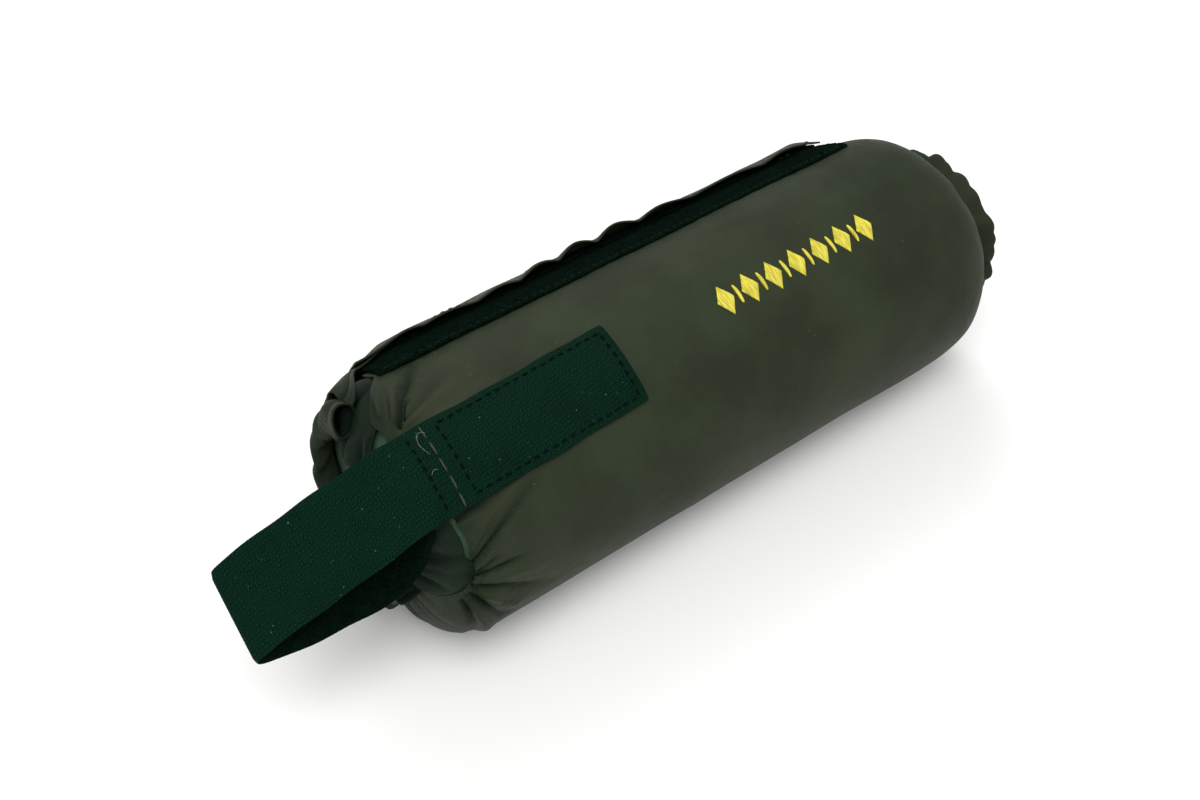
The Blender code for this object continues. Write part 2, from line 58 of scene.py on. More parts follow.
cover_low, cover_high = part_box("cover_panel")
SLEEVE_RADIUS = (cover_high.z**2 + REST_HALF_WIDTH**2) / (2 * cover_high.z)
AXIS_Y = cover_low.y + SLEEVE_RADIUS
AXIS_Z = cover_high.z - SLEEVE_RADIUS
MIDDLE_X = (cover_low.x + cover_high.x) / 2
HALF_LENGTH = (cover_high.x - cover_low.x) / 2


def around_axis(x, angle, radius):
    """Points in the part's frame: x along the axis, then radius times (-cos, sin) of the angle across it."""
    x, turned, radius = np.broadcast_arrays(x, np.radians(angle), radius)
    across, up = AXIS_Y - radius * np.cos(turned), AXIS_Z + radius * np.sin(turned)
    return np.stack([MIDDLE_X + x, across, up], axis=-1)


# ---------------------------------------------------------------------------------------------------------
# Camera: a normal lens half a metre off the strap end, looking down along the sleeve from its front left.
CAMERA_OFFSET = (-5.175, -5.882, 7.597)
CAMERA_LOOK = (0.422, 0.558, -0.7145)
camera_data = bpy.data.cameras.new("camera")
camera_data.lens = 42.0
camera_data.sensor_width = 36.0
camera_data.clip_start = 0.01
camera = bpy.data.objects.new("camera", camera_data)
camera.location = around_axis(0.0, 0.0, 0.0) + SLEEVE_RADIUS * np.array(CAMERA_OFFSET)
camera.rotation_euler = Vector(CAMERA_LOOK).to_track_quat("-Z", "Y").to_euler()
bpy.context.scene.collection.objects.link(camera)
bpy.context.scene.camera = camera
bpy.context.scene.view_settings.view_transform = "Standard"


# ---------------------------------------------------------------------------------------------------------
# Studio: a white paper sweep under the bumper, a broad soft light over its front, a fill, and a pale room.
class Tone:
    """A value worked out over a surface. It wraps one node's output; arithmetic on it adds Math nodes."""

    def __init__(self, finish, socket):
        self.finish, self.socket = finish, socket

    def work(self, operation, first, second=0.0, third=0.0):
        return self.finish.add("ShaderNodeMath", {"operation": operation}, {0: first, 1: second, 2: third})

    def __add__(self, other):
        return self.work("ADD", self, other)

    def __sub__(self, other):
        return self.work("SUBTRACT", self, other)

    def __rsub__(self, other):
        return self.work("SUBTRACT", other, self)

    def __mul__(self, other):
        return self.work("MULTIPLY", self, other)

    __radd__, __rmul__ = __add__, __mul__

    def step_up(self, low, high):
        """0 below low, 1 above high, and a smooth rise between."""
        sockets = {"Value": self, "From Min": low, "From Max": high}
        return self.finish.add("ShaderNodeMapRange", {"interpolation_type": "SMOOTHSTEP"}, sockets)


class Finish:
    """A material in the making. add() puts in a node: its settings first, then its sockets."""

    def __init__(self, name, **shader_values):
        self.material = bpy.data.materials.new(name)
        self.material.use_nodes = True
        self.tree = self.material.node_tree
        self.shader = self.tree.nodes["Principled BSDF"]
        for socket, value in shader_values.items():
            self.join(self.shader.inputs[socket.replace("_", " ")], value)

    def join(self, socket, value):
        if isinstance(value, Tone):
            self.tree.links.new(value.socket, socket)
        elif isinstance(value, tuple) and len(value) == 3 and len(socket.default_value) == 4:
            socket.default_value = (*value, 1.0)
        else:
            socket.default_value = value

    def add(self, kind, settings=None, sockets=None, output=0):
        node = self.tree.nodes.new(kind)
        for name, value in (settings or {}).items():
            setattr(node, name, value)
        for name, value in (sockets or {}).items():
            self.join(node.inputs[name], value)
        return Tone(self, node.outputs[output])

    def object_place(self):
        return self.add("ShaderNodeTexCoord", output=3)

    def surface_place(self):
        return self.add("ShaderNodeTexCoord", output=2)

    def stretched(self, place, scale, turn=(0.0, 0.0, 0.0)):
        return self.add("ShaderNodeMapping", {}, {"Vector": place, "Scale": scale, "Rotation": turn})

    def noise(self, place, per_metre, detail=3.0, roughness=0.5):
        sockets = {"Vector": place, "Scale": per_metre, "Detail": detail, "Roughness": roughness}
        return self.add("ShaderNodeTexNoise", {}, sockets)

    def cells(self, place, per_metre, feature="F1", jitter=1.0):
        sockets = {"Vector": place, "Scale": per_metre, "Randomness": jitter}
        return self.add("ShaderNodeTexVoronoi", {"feature": feature}, sockets)

    def blend(self, amount, first, second, way="MIX"):
        settings = {"data_type": "RGBA", "blend_type": way, "clamp_factor": True}
        return self.add("ShaderNodeMix", settings, {0: amount, 6: first, 7: second}, output=2)

    def relief(self, height, depth, strength=1.0, under=None):
        """A bump whose height of 1 stands for depth metres, laid over another bump if there is one."""
        sockets = {"Height": height, "Distance": depth, "Strength": strength}
        if under is not None:
            sockets["Normal"] = under
        return self.add("ShaderNodeBump", {}, sockets)

    def wear(self, **fed):
        for socket, value in fed.items():
            self.join(self.shader.inputs[socket.replace("_", " ")], value)
        return self.material


FLOOR_SIZE = 3.0
paper = Finish("studio_paper", Base_Color=(0.86, 0.86, 0.85), Roughness=0.9)
bpy.ops.mesh.primitive_grid_add(x_subdivisions=4, y_subdivisions=4, size=FLOOR_SIZE)
floor = bpy.context.active_object
floor.name = "studio_floor"
floor.data.materials.append(paper.wear(Roughness=0.9))


def soft_light(name, place, aim, size, power):
    """A square area light at a place in metres, turned to face its aim."""
    data = bpy.data.lights.new(name, "AREA")
    data.size, data.energy = size, power
    light = bpy.data.objects.new(name, data)
    light.location = place
    light.rotation_euler = (Vector(aim) - Vector(place)).to_track_quat("-Z", "Y").to_euler()
    bpy.context.scene.collection.objects.link(light)


soft_light("key_light", (-0.35, -0.55, 1.30), (0.0, 0.0, 0.05), 0.9, 16.0)
soft_light("back_light", (0.45, 0.85, 0.95), (0.0, 0.0, 0.05), 0.8, 6.5)
soft_light("left_fill", (-1.20, -0.10, 0.55), (-0.05, 0.0, 0.05), 0.7, 1.5)
world = bpy.data.worlds.new("studio_room")
world.use_nodes = True
world.node_tree.nodes["Background"].inputs["Color"].default_value = (1.0, 1.0, 1.0, 1.0)
world.node_tree.nodes["Background"].inputs["Strength"].default_value = 0.55
bpy.context.scene.world = world


# ---------------------------------------------------------------------------------------------------------
# Cover: one panel of thin coated nylon, cut square, wrapped round the foam and drawn in at both ends. Its
# front edge lies under the pile tape; its back edge runs on as the closing flap. At the strap end the front
# of it isn't gathered, and stops short over the foam.
CLOTH_THICKNESS = 0.0007
NEAR_DOME, FAR_DOME = 0.018, 0.026
NEAR_MOUTH, FAR_MOUTH = 0.0225, 0.0235
DOME_ROUNDNESS = 2.2
DOME_ARCS = (0.032, 0.036)
PLEAT_DEPTH = (0.0021, 0.0015)
SLACK, LAP_RISE = 0.00045, 0.0005
SHOULDERS = (-HALF_LENGTH + NEAR_DOME, HALF_LENGTH - FAR_DOME)
BARREL_LENGTH = SHOULDERS[1] - SHOULDERS[0]
SEAM_ENDS = (SHOULDERS[0] + 0.001, SHOULDERS[1] - 0.001)
SEAM_FRONT, SEAM_BACK, SEAM_RIDGE = 115.0, 170.0, 142.5
HINGE_ANGLE = 168.5
RIDGE_FADE, RIDGE_FULLNESS = 0.014, 0.6


def smooth_step(value):
    """0 below 0, 1 above 1, and 3v^2 - 2v^3 between."""
    clipped = np.clip(value, 0.0, 1.0)
    return clipped * clipped * (3.0 - 2.0 * clipped)


def drift(x, y, seed, count=9):
    """A gentle random surface: the mean of a few sine waves in random directions, from about -1 to 1."""
    rng = np.random.default_rng(seed)
    total = 0.0
    turns, sizes = rng.uniform(0, np.pi, count), rng.uniform(0.6, 1.7, count)
    for turn, size, start in zip(turns, sizes, rng.uniform(0, 7, count)):
        total = total + np.sin(size * (x * np.cos(turn) + y * np.sin(turn)) + start)
    return total / count * 1.9


def seam_ridge(x, angle):
    """The stiff seam's two flattish faces, as a share of the radius: 1 plus part of what 1 / cos of the angle
    from where each face starts is above 1. It fades out towards the seam's ends."""
    facing = np.clip(np.mod(angle, 360.0), SEAM_FRONT, SEAM_BACK)
    off = np.minimum(facing - SEAM_FRONT, SEAM_BACK - facing)
    fade = smooth_step((x - SEAM_ENDS[0]) / RIDGE_FADE) * smooth_step((SEAM_ENDS[1] - x) / RIDGE_FADE + 0.4)
    return 1.0 + RIDGE_FULLNESS * (1.0 / np.cos(np.radians(off)) - 1.0) * fade


def resting(angle, radius):
    """The radius, cut back where the sleeve lies flat on what is under it."""
    down = np.maximum(-np.sin(np.radians(angle)), 1e-6)
    return np.minimum(radius, np.where(down > 1e-5, AXIS_Z / down, radius))


def dome(turn, depth, mouth):
    """Distance out from the shoulder, and radius, of a rounded end; turn is 90 at the shoulder and 0 at the
    mouth. Both follow a superellipse: the cosine and the sine, each to the power 2 / roundness."""
    power = 2.0 / DOME_ROUNDNESS
    out = depth * np.maximum(np.cos(np.radians(turn)), 0.0) ** power
    return out, mouth + (SLEEVE_RADIUS - mouth) * np.maximum(np.sin(np.radians(turn)), 0.0) ** power


def cloth_profile(run, angle):
    """The smooth cover. run goes 0 to 1 down the strap end's dome, 1 to 2 along the barrel, 2 to 3 down the
    far dome; the answer is x along the axis and the distance from it."""
    near_out, near_radius = dome(90.0 * np.clip(run, 0, 1), NEAR_DOME, NEAR_MOUTH)
    far_out, far_radius = dome(90.0 * (1.0 - np.clip(run - 2, 0, 1)), FAR_DOME, FAR_MOUTH)
    barrel = SHOULDERS[0] + BARREL_LENGTH * np.clip(run - 1, 0, 1)
    x = np.where(run < 1, SHOULDERS[0] - near_out, np.where(run > 2, SHOULDERS[1] + far_out, barrel))
    radius = np.where(run < 1, near_radius, np.where(run > 2, far_radius, SLEEVE_RADIUS))
    return x, resting(angle, radius * seam_ridge(x, angle))


def barrel_run(x):
    """The run, 1 to 2, of a place along the barrel."""
    return 1.0 + (x - SHOULDERS[0]) / BARREL_LENGTH


def front_trim(angle):
    """Where the cover starts, as a run: 0 at the drawn mouth, high on the dome across the front, and past the
    shoulder where it goes in under the seam."""
    rise = 0.80 * smooth_step((angle + 14.0) / 32.0) - 0.20 * smooth_step((angle - 44.0) / 22.0)
    wave = 0.022 * np.sin(angle / 4.3 + 0.8) * smooth_step((angle - 20.0) / 10.0)
    return rise + wave + 0.41 * smooth_step((angle - 92.0) / 28.0)


def creases(x, angle, lines):
    """Folds between two places on the sleeve, each (x, angle, x, angle, width, depth) in mm and degrees: a
    bell across the line, tapered along it. A positive depth stands out."""
    height = 0.0
    for x0, a0, x1, a1, width, depth in lines:
        across, along = (x1 - x0), np.radians(a1 - a0) * SLEEVE_RADIUS * 1000
        reach = np.hypot(across, along)
        px, py = x * 1000 - x0, np.radians(angle - a0) * SLEEVE_RADIUS * 1000
        share = (px * across + py * along) / reach**2
        off = (px * along - py * across) / reach
        held = np.clip(share, 0.0, 1.0)
        gap = np.hypot(off, (share - held) * reach)
        bell = np.exp(-((gap / (width * (0.35 + 0.9 * held))) ** 2))
        height = height + depth / 1000 * bell * (1.0 - 0.75 * held)
    return height


def outward(points):
    """Each grid point's unit normal: the cross product of the steps across the grid, turned off the axis."""
    normal = np.cross(np.gradient(points, axis=0), np.gradient(points, axis=1))
    normal /= np.maximum(np.linalg.norm(normal, axis=-1, keepdims=True), 1e-12)
    away = points - np.array([0.0, AXIS_Y, AXIS_Z])
    away[..., 0] = 0.0
    return normal * np.sign(np.sum(normal * away, axis=-1).mean())


def raised(points, height):
    """Grid points moved out along their own normals by a height in metres."""
    return points + outward(points) * height[..., None]


def capped(rings):
    """A tube's rings with one more at each end, drawn together at the middle of the last."""
    ends = [ring.mean(axis=0, keepdims=True).repeat(len(ring), 0) for ring in (rings[0], rings[-1])]
    return np.concatenate([ends[:1], rings, ends[1:]])


def valley(height, floor=0.0002, deep=0.0012):
    """How deep in a fold a height lies: 0 down to floor metres below the smooth cloth, 1 by deep more."""
    return smooth_step((-height - floor) / deep)


def gathers(angle, distance, seed, count, depth, reach, span=(0.0, 360.0)):
    """Pleats running in from a drawn edge. Each is a narrow valley between two swells, at its own angle, with
    its own depth and length; all fade with distance from the edge."""
    rng = np.random.default_rng(seed)
    height = np.zeros(np.broadcast_shapes(np.shape(angle), np.shape(distance)))
    places = span[0] + (np.arange(count) + rng.uniform(-0.36, 0.36, count)) * (span[1] - span[0]) / count
    pitch = (span[1] - span[0]) / count
    for place in places:
        lean = rng.uniform(-0.35, 0.35) * pitch
        size = depth * rng.uniform(0.45, 1.25)
        length = reach * rng.uniform(0.45, 1.5)
        wide = pitch * rng.uniform(0.26, 0.42) * (1.0 + 0.5 * distance / reach)
        off = np.mod(angle - place - lean * distance / reach + 180.0, 360.0) - 180.0
        shape = 0.55 * np.exp(-((off / (1.9 * wide)) ** 2)) - np.exp(-np.abs(off / wide) ** 1.5)
        height = height + size * shape * np.exp(-((distance / length) ** 1.3))
    return height


def cloth_mesh(name, points, uv=None, closed=(False, False), dark=None):
    """A grid of points as a mesh. closed says whether its rows, or its columns, join up round to the first;
    dark is how deep in a fold each point lies, 0 to 1."""
    rows, columns = points.shape[:2]
    row = np.arange(rows if closed[0] else rows - 1)[:, None]
    column = np.arange(columns if closed[1] else columns - 1)[None, :]
    next_row, next_column = (row + 1) % rows, (column + 1) % columns
    corners = [row * columns + column, next_row * columns + column,
               next_row * columns + next_column, row * columns + next_column]
    faces = np.stack(np.broadcast_arrays(*corners), axis=-1).reshape(-1, 4)
    mesh = bpy.data.meshes.new(name)
    mesh.from_pydata(points.reshape(-1, 3), [], faces)
    mesh.shade_smooth()
    if uv is not None:
        layer = mesh.uv_layers.new(name="along_and_across")
        layer.data.foreach_set("uv", uv.reshape(-1, 2)[faces.reshape(-1)].astype(np.float32).ravel())
    if dark is not None:
        depth = mesh.attributes.new("fold_depth", "FLOAT", "POINT")
        depth.data.foreach_set("value", np.broadcast_to(dark, points.shape[:2]).astype(np.float32).ravel())
    piece = bpy.data.objects.new(name, mesh)
    bpy.context.scene.collection.objects.link(piece)
    return piece


def dress(piece, finish, thickness=CLOTH_THICKNESS, offset=-1.0):
    """Makes a cloth of a grid: turns its faces over where they point at the sleeve's axis on the whole, gives
    it its material, and thickens it inward (offset -1) or to both sides (offset 0)."""
    mesh = piece.data
    count = len(mesh.polygons)
    middle, normal = np.zeros(count * 3, np.float32), np.zeros(count * 3, np.float32)
    mesh.polygons.foreach_get("center", middle)
    mesh.polygons.foreach_get("normal", normal)
    away = middle.reshape(-1, 3) - np.array([0.0, AXIS_Y, AXIS_Z])
    away[:, 0] = 0.0
    if np.sum(away * normal.reshape(-1, 3)) < 0:
        mesh.flip_normals()
    mesh.materials.append(finish)
    wall = piece.modifiers.new("thickness", "SOLIDIFY")
    wall.thickness, wall.offset = thickness, offset
    return wall


def coated_nylon(name, base, deep, pale, gloss):
    """Thin plain-weave nylon with a rubbed coating: broad colour drift, pale scuffs, crinkle, a fine weave.
    It darkens by the fold_depth that each point carries."""
    cloth = Finish(name, Specular_IOR_Level=0.075)
    place = cloth.object_place()
    broad = cloth.noise(place, 24.0, 4.0, 0.55)
    fine = cloth.noise(place, 210.0, 4.0, 0.6)
    scuffed = cloth.noise(cloth.stretched(place, (1.0, 1.7, 1.7)), 75.0, 6.0, 0.72).step_up(0.60, 0.80)
    chalky = cloth.noise(place, 1400.0, 2.0, 0.6).step_up(0.45, 0.75)
    weave_x = cloth.add("ShaderNodeTexWave", {"bands_direction": "X"}, {"Vector": place, "Scale": 620.0})
    crinkle = cloth.noise(cloth.stretched(place, (1.0, 0.7, 0.7)), 190.0, 3.0, 0.55)
    specks = 1.0 - cloth.cells(place, 260.0).step_up(0.05, 0.10)
    color = cloth.blend(broad.step_up(0.30, 0.70), deep, base)
    color = cloth.blend(scuffed * chalky * 0.42, color, pale)
    color = cloth.blend(specks * fine.step_up(0.56, 0.62) * 0.7, color, pale)
    brown = cloth.noise(place, 13.0, 5.0, 0.65)
    color = cloth.blend(brown.step_up(0.48, 0.72) * 0.45, color, tuple(np.array(base) * (1.30, 0.95, 0.95)))
    depth = cloth.add("ShaderNodeAttribute", {"attribute_name": "fold_depth"}, output=2)
    color = cloth.blend(depth, color, FOLD_DARK)
    bump = cloth.relief(crinkle, 0.0007, 0.55)
    bump = cloth.relief(weave_x + fine * 0.8, 0.00018, 0.5, bump)
    rough = gloss + 0.16 * fine + 0.14 * scuffed
    return cloth.wear(Base_Color=color, Roughness=rough, Normal=bump)


FOLD_DARK = (0.0024, 0.0075, 0.0042)
OLIVE, OLIVE_DEEP, OLIVE_PALE = (0.0270, 0.0370, 0.0195), (0.0175, 0.0235, 0.0125), (0.085, 0.112, 0.072)
cover_finish = coated_nylon("olive_coated_nylon", OLIVE, OLIVE_DEEP, OLIVE_PALE, 0.44)

# Where the cover is caught at the strap's two edges, folds fan out from the two tight places.
UPPER_CATCH = [(-115, 83, -98, 112, 1.8, -3.4), (-115, 86, -106, 108, 2.4, 2.6),
               (-115, 83, -90, 98, 2.0, -1.9), (-114, 82, -94, 88, 2.4, 1.3),
               (-117, 92, -110, 116, 2.4, 2.4), (-113, 79, -84, 86, 2.2, -0.9)]
LOWER_CATCH = [(-117, 15, -98, 12, 1.3, -3.6), (-117, 18, -100, 26, 1.9, 2.2), (-116, 20, -86, 40, 2.2, -2.4),
               (-115, 30, -88, 44, 2.4, 1.6), (-116, 40, -96, 43, 1.8, -2.6), (-117, 24, -106, 36, 1.5, 1.8),
               (-116, 13, -94, 4, 1.9, 1.7), (-117, 11, -90, -12, 1.8, -2.6), (-117, 9, -100, -16, 1.8, 2.0),
               (-118, 6, -104, -28, 1.5, -3.2), (-119, 4, -110, -36, 1.9, 2.2),
               (-120, 2, -114, -44, 1.5, -2.8), (-116, 17, -106, 19, 0.9, -2.6)]
BARREL_FOLDS = [(-60, 20, -20, -6, 5.0, -0.5), (-30, 96, 10, 90, 5.0, -0.35), (20, 100, 60, 84, 4.0, -0.35),
                (70, 40, 108, 20, 5.0, -0.4), (60, 52, 70, 30, 3.0, -0.35), (30, 54, 36, 30, 3.0, -0.3),
                (-36, 84, -22, 97, 2.5, -0.4), (-38, 46, -22, 36, 2.5, -0.35)]

EVEN_BY = 1.2
row_share = np.concatenate([np.linspace(0, EVEN_BY, 50), EVEN_BY + np.linspace(0, 2 - EVEN_BY, 46)[1:-1],
                            2 + np.linspace(0, 1, 52)])[:, None]
cover_angle = np.linspace(SEAM_RIDGE - 0.4, HINGE_ANGLE - 360.0, 300)[None, :]
start = front_trim(cover_angle)
run = np.where(row_share < EVEN_BY, start + (EVEN_BY - start) * row_share / EVEN_BY, row_share)
cover_x, cover_radius = cloth_profile(run, cover_angle)
smooth_cover = around_axis(cover_x, cover_angle, cover_radius)
drawn = 1.0 - smooth_step(start / 0.5)


def far_pleats(angle, distance):
    """Pleats at the far mouth: broad soft ones, and a few that run up the dome."""
    short, long = gathers(angle, distance, 23, 23, 0.8, 0.009), gathers(angle, distance, 5, 9, 0.9, 0.024)
    return PLEAT_DEPTH[1] * (short + long)


def near_pleats(angle, distance):
    """Pleats at the strap end's mouth, deeper, as the fabric there is drawn tighter."""
    short, long = gathers(angle, distance, 11, 34, 0.9, 0.013), gathers(angle, distance, 4, 12, 0.9, 0.030)
    return PLEAT_DEPTH[0] * short + PLEAT_DEPTH[1] * long


def near_distance(run):
    """How far a run lies along the cloth from the strap end's mouth."""
    return np.clip(run, 0, 1) * DOME_ARCS[0] + np.clip(run - 1, 0, 1) * BARREL_LENGTH


def far_distance(run):
    """How far a run lies along the cloth from the far mouth."""
    return np.clip(3.0 - run, 0, 1) * DOME_ARCS[1] + np.clip(2.0 - run, 0, 1) * BARREL_LENGTH


lift = drawn * near_pleats(cover_angle, near_distance(run)) + far_pleats(cover_angle, far_distance(run))
lift = lift + SLACK * drift(cover_x * 60, cover_angle / 14, 3)
lift = lift + 0.00020 * drift(cover_x * 190, cover_angle / 5, 8)
caught = creases(cover_x, cover_angle, UPPER_CATCH + LOWER_CATCH)
fold_depth = 0.95 * valley(caught + 0.7 * lift, deep=0.0018)
fold_depth = np.maximum(fold_depth, 0.45 * smooth_step((1.10 - run) / 0.50))
lift = lift + 1.1 * caught + creases(cover_x, cover_angle, BARREL_FOLDS)
tape_pull = np.exp(-(((cover_angle - SEAM_FRONT + 2.0) / 3.0) ** 2))
lift = lift - 0.00030 * tape_pull * (0.5 + 0.5 * np.sin(cover_x * 900 + 2 * np.sin(cover_x * 130)))
lying = np.sin(np.radians(cover_angle)) < -0.93
lift = np.where(lying, np.minimum(lift, 0.0), lift)
cover_points = raised(smooth_cover, lift)
cover_points[..., 2] = np.maximum(cover_points[..., 2], 0.0002)
cover = cloth_mesh("cover_cloth", cover_points, dark=fold_depth)
dress(cover, cover_finish)
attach(cover, "sleeve")
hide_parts("cover_panel")


# Past the seam's far end the cover's two edges are lapped and sewn shut down to the frill.
lap_angle = np.linspace(SEAM_RIDGE - 2.0, HINGE_ANGLE + 1.5, 40)[None, :]
lap_run = np.linspace(1.962, 3.0, 60)[:, None]
lap_x, lap_radius = cloth_profile(lap_run, lap_angle)
lap_pleats = far_pleats(lap_angle, far_distance(lap_run))
lap_lift = lap_pleats + SLACK * drift(lap_x * 60, lap_angle / 14, 3) + LAP_RISE
smooth_lap = around_axis(lap_x, lap_angle, lap_radius)
lapped = cloth_mesh("lapped_corner", raised(smooth_lap, lap_lift),
                    dark=0.7 * valley(lap_pleats))
dress(lapped, cover_finish)
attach(lapped, "sleeve")


# ---------------------------------------------------------------------------------------------------------
# Foam: a closed-cell cylinder with rounded ends, pale green where the cover leaves it bare. It is cut from
# block foam, so its ends are softly crushed by the cover.
FOAM_INSET, FACE_DOME, FOAM_CLEAR = 0.0022, 0.0015, 0.0012


def close_poles(piece):
    """Merges points that share a place, such as the ring at each pole, and points every face outward."""
    shape = bmesh.new()
    shape.from_mesh(piece.data)
    bmesh.ops.remove_doubles(shape, verts=shape.verts, dist=1e-7)
    bmesh.ops.recalc_face_normals(shape, faces=shape.faces)
    shape.to_mesh(piece.data)
    shape.free()
    return piece


foam_run = np.concatenate([leg + np.linspace(0, 1, steps)[min(leg, 1):]
                           for leg, steps in enumerate((14, 20, 40, 20, 14))])[:, None]
foam_angle = np.linspace(0, 360, 160, endpoint=False)[None, :]
foam_x, foam_radius = cloth_profile(np.clip(foam_run - 1, 0, 3), foam_angle * 0 + 20.0)
foam_shrink = 1.0 - FOAM_INSET / SLEEVE_RADIUS
face_share = np.where(foam_run < 1, foam_run, np.where(foam_run > 4, 5 - foam_run, 1.0))
domed = FACE_DOME * np.sign(foam_x) * (1 - face_share**2) * (face_share < 1)
foam_x = foam_x * (1.0 - FOAM_INSET / HALF_LENGTH) + domed
uneven = 0.0004 * drift(foam_x * 70, foam_angle / 16, 31) * face_share
foam_radius = foam_radius * foam_shrink * np.sqrt(np.clip(face_share, 0, 1)) + uneven
foam_rest = resting(foam_angle, foam_radius + FOAM_CLEAR) - FOAM_CLEAR * (face_share >= 1)
foam_points = around_axis(foam_x, foam_angle, np.maximum(np.minimum(foam_radius, foam_rest), 0.0))
foam = close_poles(cloth_mesh("foam_body", foam_points, closed=(False, True)))
foam_finish = Finish("closed_cell_foam", Specular_IOR_Level=0.12)
place = foam_finish.object_place()
cell = foam_finish.cells(place, 900.0)
rim = foam_finish.cells(place, 900.0, "DISTANCE_TO_EDGE")
mottle = foam_finish.noise(place, 60.0, 4.0, 0.6)
FOAM_PALE, FOAM_DEEP = (0.066, 0.122, 0.070), (0.036, 0.072, 0.040)
foam_color = foam_finish.blend(mottle.step_up(0.3, 0.7), FOAM_DEEP, FOAM_PALE)
foam_color = foam_finish.blend(cell * 0.35, foam_color, FOAM_DEEP)
foam_bump = foam_finish.relief(rim.step_up(0.0, 0.25), 0.00025, 0.5)
foam_rough = 0.62 + 0.2 * mottle
foam_bump = foam_finish.relief(mottle, 0.0008, 0.5, foam_bump)
foam.data.materials.append(foam_finish.wear(Base_Color=foam_color, Roughness=foam_rough, Normal=foam_bump))
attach(foam, "sleeve")
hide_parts("foam_core")


# ---------------------------------------------------------------------------------------------------------
# Tuck: behind the front's edge the cover is folded back under itself and lies on the foam's rounded end. Its
# dark inner face shows; the foam shows past its edge as a narrow strip below the strap and a patch above it.
TUCK_ANGLES = (-16.0, 122.0)
TUCK_UNDER = 0.0010
INNER_GREEN, INNER_DEEP = (0.0120, 0.0230, 0.0120), (0.0060, 0.0130, 0.0068)
INNER_PALE = (0.026, 0.044, 0.027)
inner_finish = coated_nylon("inner_face_nylon", INNER_GREEN, INNER_DEEP, INNER_PALE, 0.55)
tuck_angle = np.linspace(*TUCK_ANGLES, 180)[None, :]
bare_strip = smooth_step((tuck_angle - 19.0) / 5.0) * smooth_step((45.0 - tuck_angle) / 5.0)
bare_patch = smooth_step((tuck_angle - 71.0) / 4.0) * smooth_step((93.0 - tuck_angle) / 4.0)
tuck_top = front_trim(tuck_angle) + 0.06 - 0.125 * bare_strip - 0.30 * bare_patch
tuck_run = 0.015 + (np.minimum(tuck_top, 0.99) - 0.015) * np.linspace(0, 1, 44)[:, None]
tuck_x, tuck_radius = cloth_profile(tuck_run, tuck_angle)
tuck_room = smooth_step((tuck_top - tuck_run) / 0.22) * smooth_step(tuck_run / 0.12)
tuck_folds = 0.0042 * gathers(tuck_angle, DOME_ARCS[0] * tuck_run, 14, 13, 0.9, 0.030, TUCK_ANGLES)
tuck_folds = tuck_folds + 0.0012 * drift(tuck_run * 9 + tuck_angle / 30, tuck_angle / 7, 15)
tuck_lift = np.clip((tuck_folds + 0.0011) * tuck_room, -0.0008, 0.0045)
smooth_tuck = around_axis(tuck_x, tuck_angle, tuck_radius)
tuck_depth = 0.15 + 0.85 * smooth_step((0.0004 - tuck_folds) / 0.0016)
tuck = cloth_mesh("tucked_edge", raised(smooth_tuck, tuck_lift - TUCK_UNDER), dark=tuck_depth)
dress(tuck, inner_finish, 0.0004, 0.0)
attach(tuck, "sleeve")


# ---------------------------------------------------------------------------------------------------------
# Seam: a black-green pile tape sewn along the cover's front edge, on top of it.
PILE_HEIGHT = (0.0003, 0.0015)


def seam_tape(name, x_ends, angles, low, high, steps, fuzz, seed):
    """A tape lying in the seam. Its section is one outline, across its upper face (face 1) and back under it
    (face 0), each at its own height over the cover; fuzz roughens the upper face."""
    x = np.linspace(*x_ends, steps[0])[:, None]
    across, face = np.linspace(0.0, 1.0, steps[1]), np.repeat([1.0, 0.0], steps[1])
    across = np.concatenate([across, across[::-1]])
    edge_wander = 0.35 * drift(x * 150, 0.0 * x, seed)
    angle = angles[0] + edge_wander * (1 - across) + (angles[1] - angles[0]) * across
    rng = np.random.default_rng(seed)
    rough = rng.uniform(-1, 1, (steps[0], steps[1]))
    rough = np.concatenate([rough, rough[:, ::-1] * 0], axis=1) * fuzz
    bottom = low(angle) if callable(low) else low
    top = high(angle) if callable(high) else high
    rounded = np.minimum(np.minimum(across, 1 - across) * 12, 1.0) ** 0.5
    height = bottom + (top - bottom) * face * (0.55 + 0.45 * rounded) + rough
    _, radius = cloth_profile(barrel_run(x), angle)
    points = capped(around_axis(x, angle, radius + height))
    return close_poles(cloth_mesh(name, points, closed=(False, True)))


pile_band = seam_tape("pile_band", (SEAM_ENDS[0] + 0.0005, SEAM_ENDS[1] - 0.0005),
                      (SEAM_FRONT, SEAM_RIDGE - 0.5), *PILE_HEIGHT, (420, 56), 0.00026, 61)
PILE_DARK, PILE_LIT = (0.0002, 0.0020, 0.0011), (0.0022, 0.0085, 0.0045)
pile_finish = Finish("brushed_pile", Sheen_Weight=0.005, Sheen_Roughness=0.5, Sheen_Tint=(0.25, 0.5, 0.38),
                     Specular_IOR_Level=0.01)
place = pile_finish.object_place()
tuft = pile_finish.cells(place, 1500.0)
matted = pile_finish.noise(place, 320.0, 5.0, 0.7)
pile_color = pile_finish.blend((tuft * 0.5 + matted).step_up(0.35, 0.95), PILE_DARK, PILE_LIT)
pile_bump = pile_finish.relief(matted * 1.2 - tuft * 0.6, 0.0016, 1.0)
pile_finish.wear(Base_Color=pile_color, Roughness=0.85 + 0.1 * matted, Normal=pile_bump)
pile_band.data.materials.append(pile_finish.material)
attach(pile_band, "sleeve")
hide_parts("closure_pile_tape")


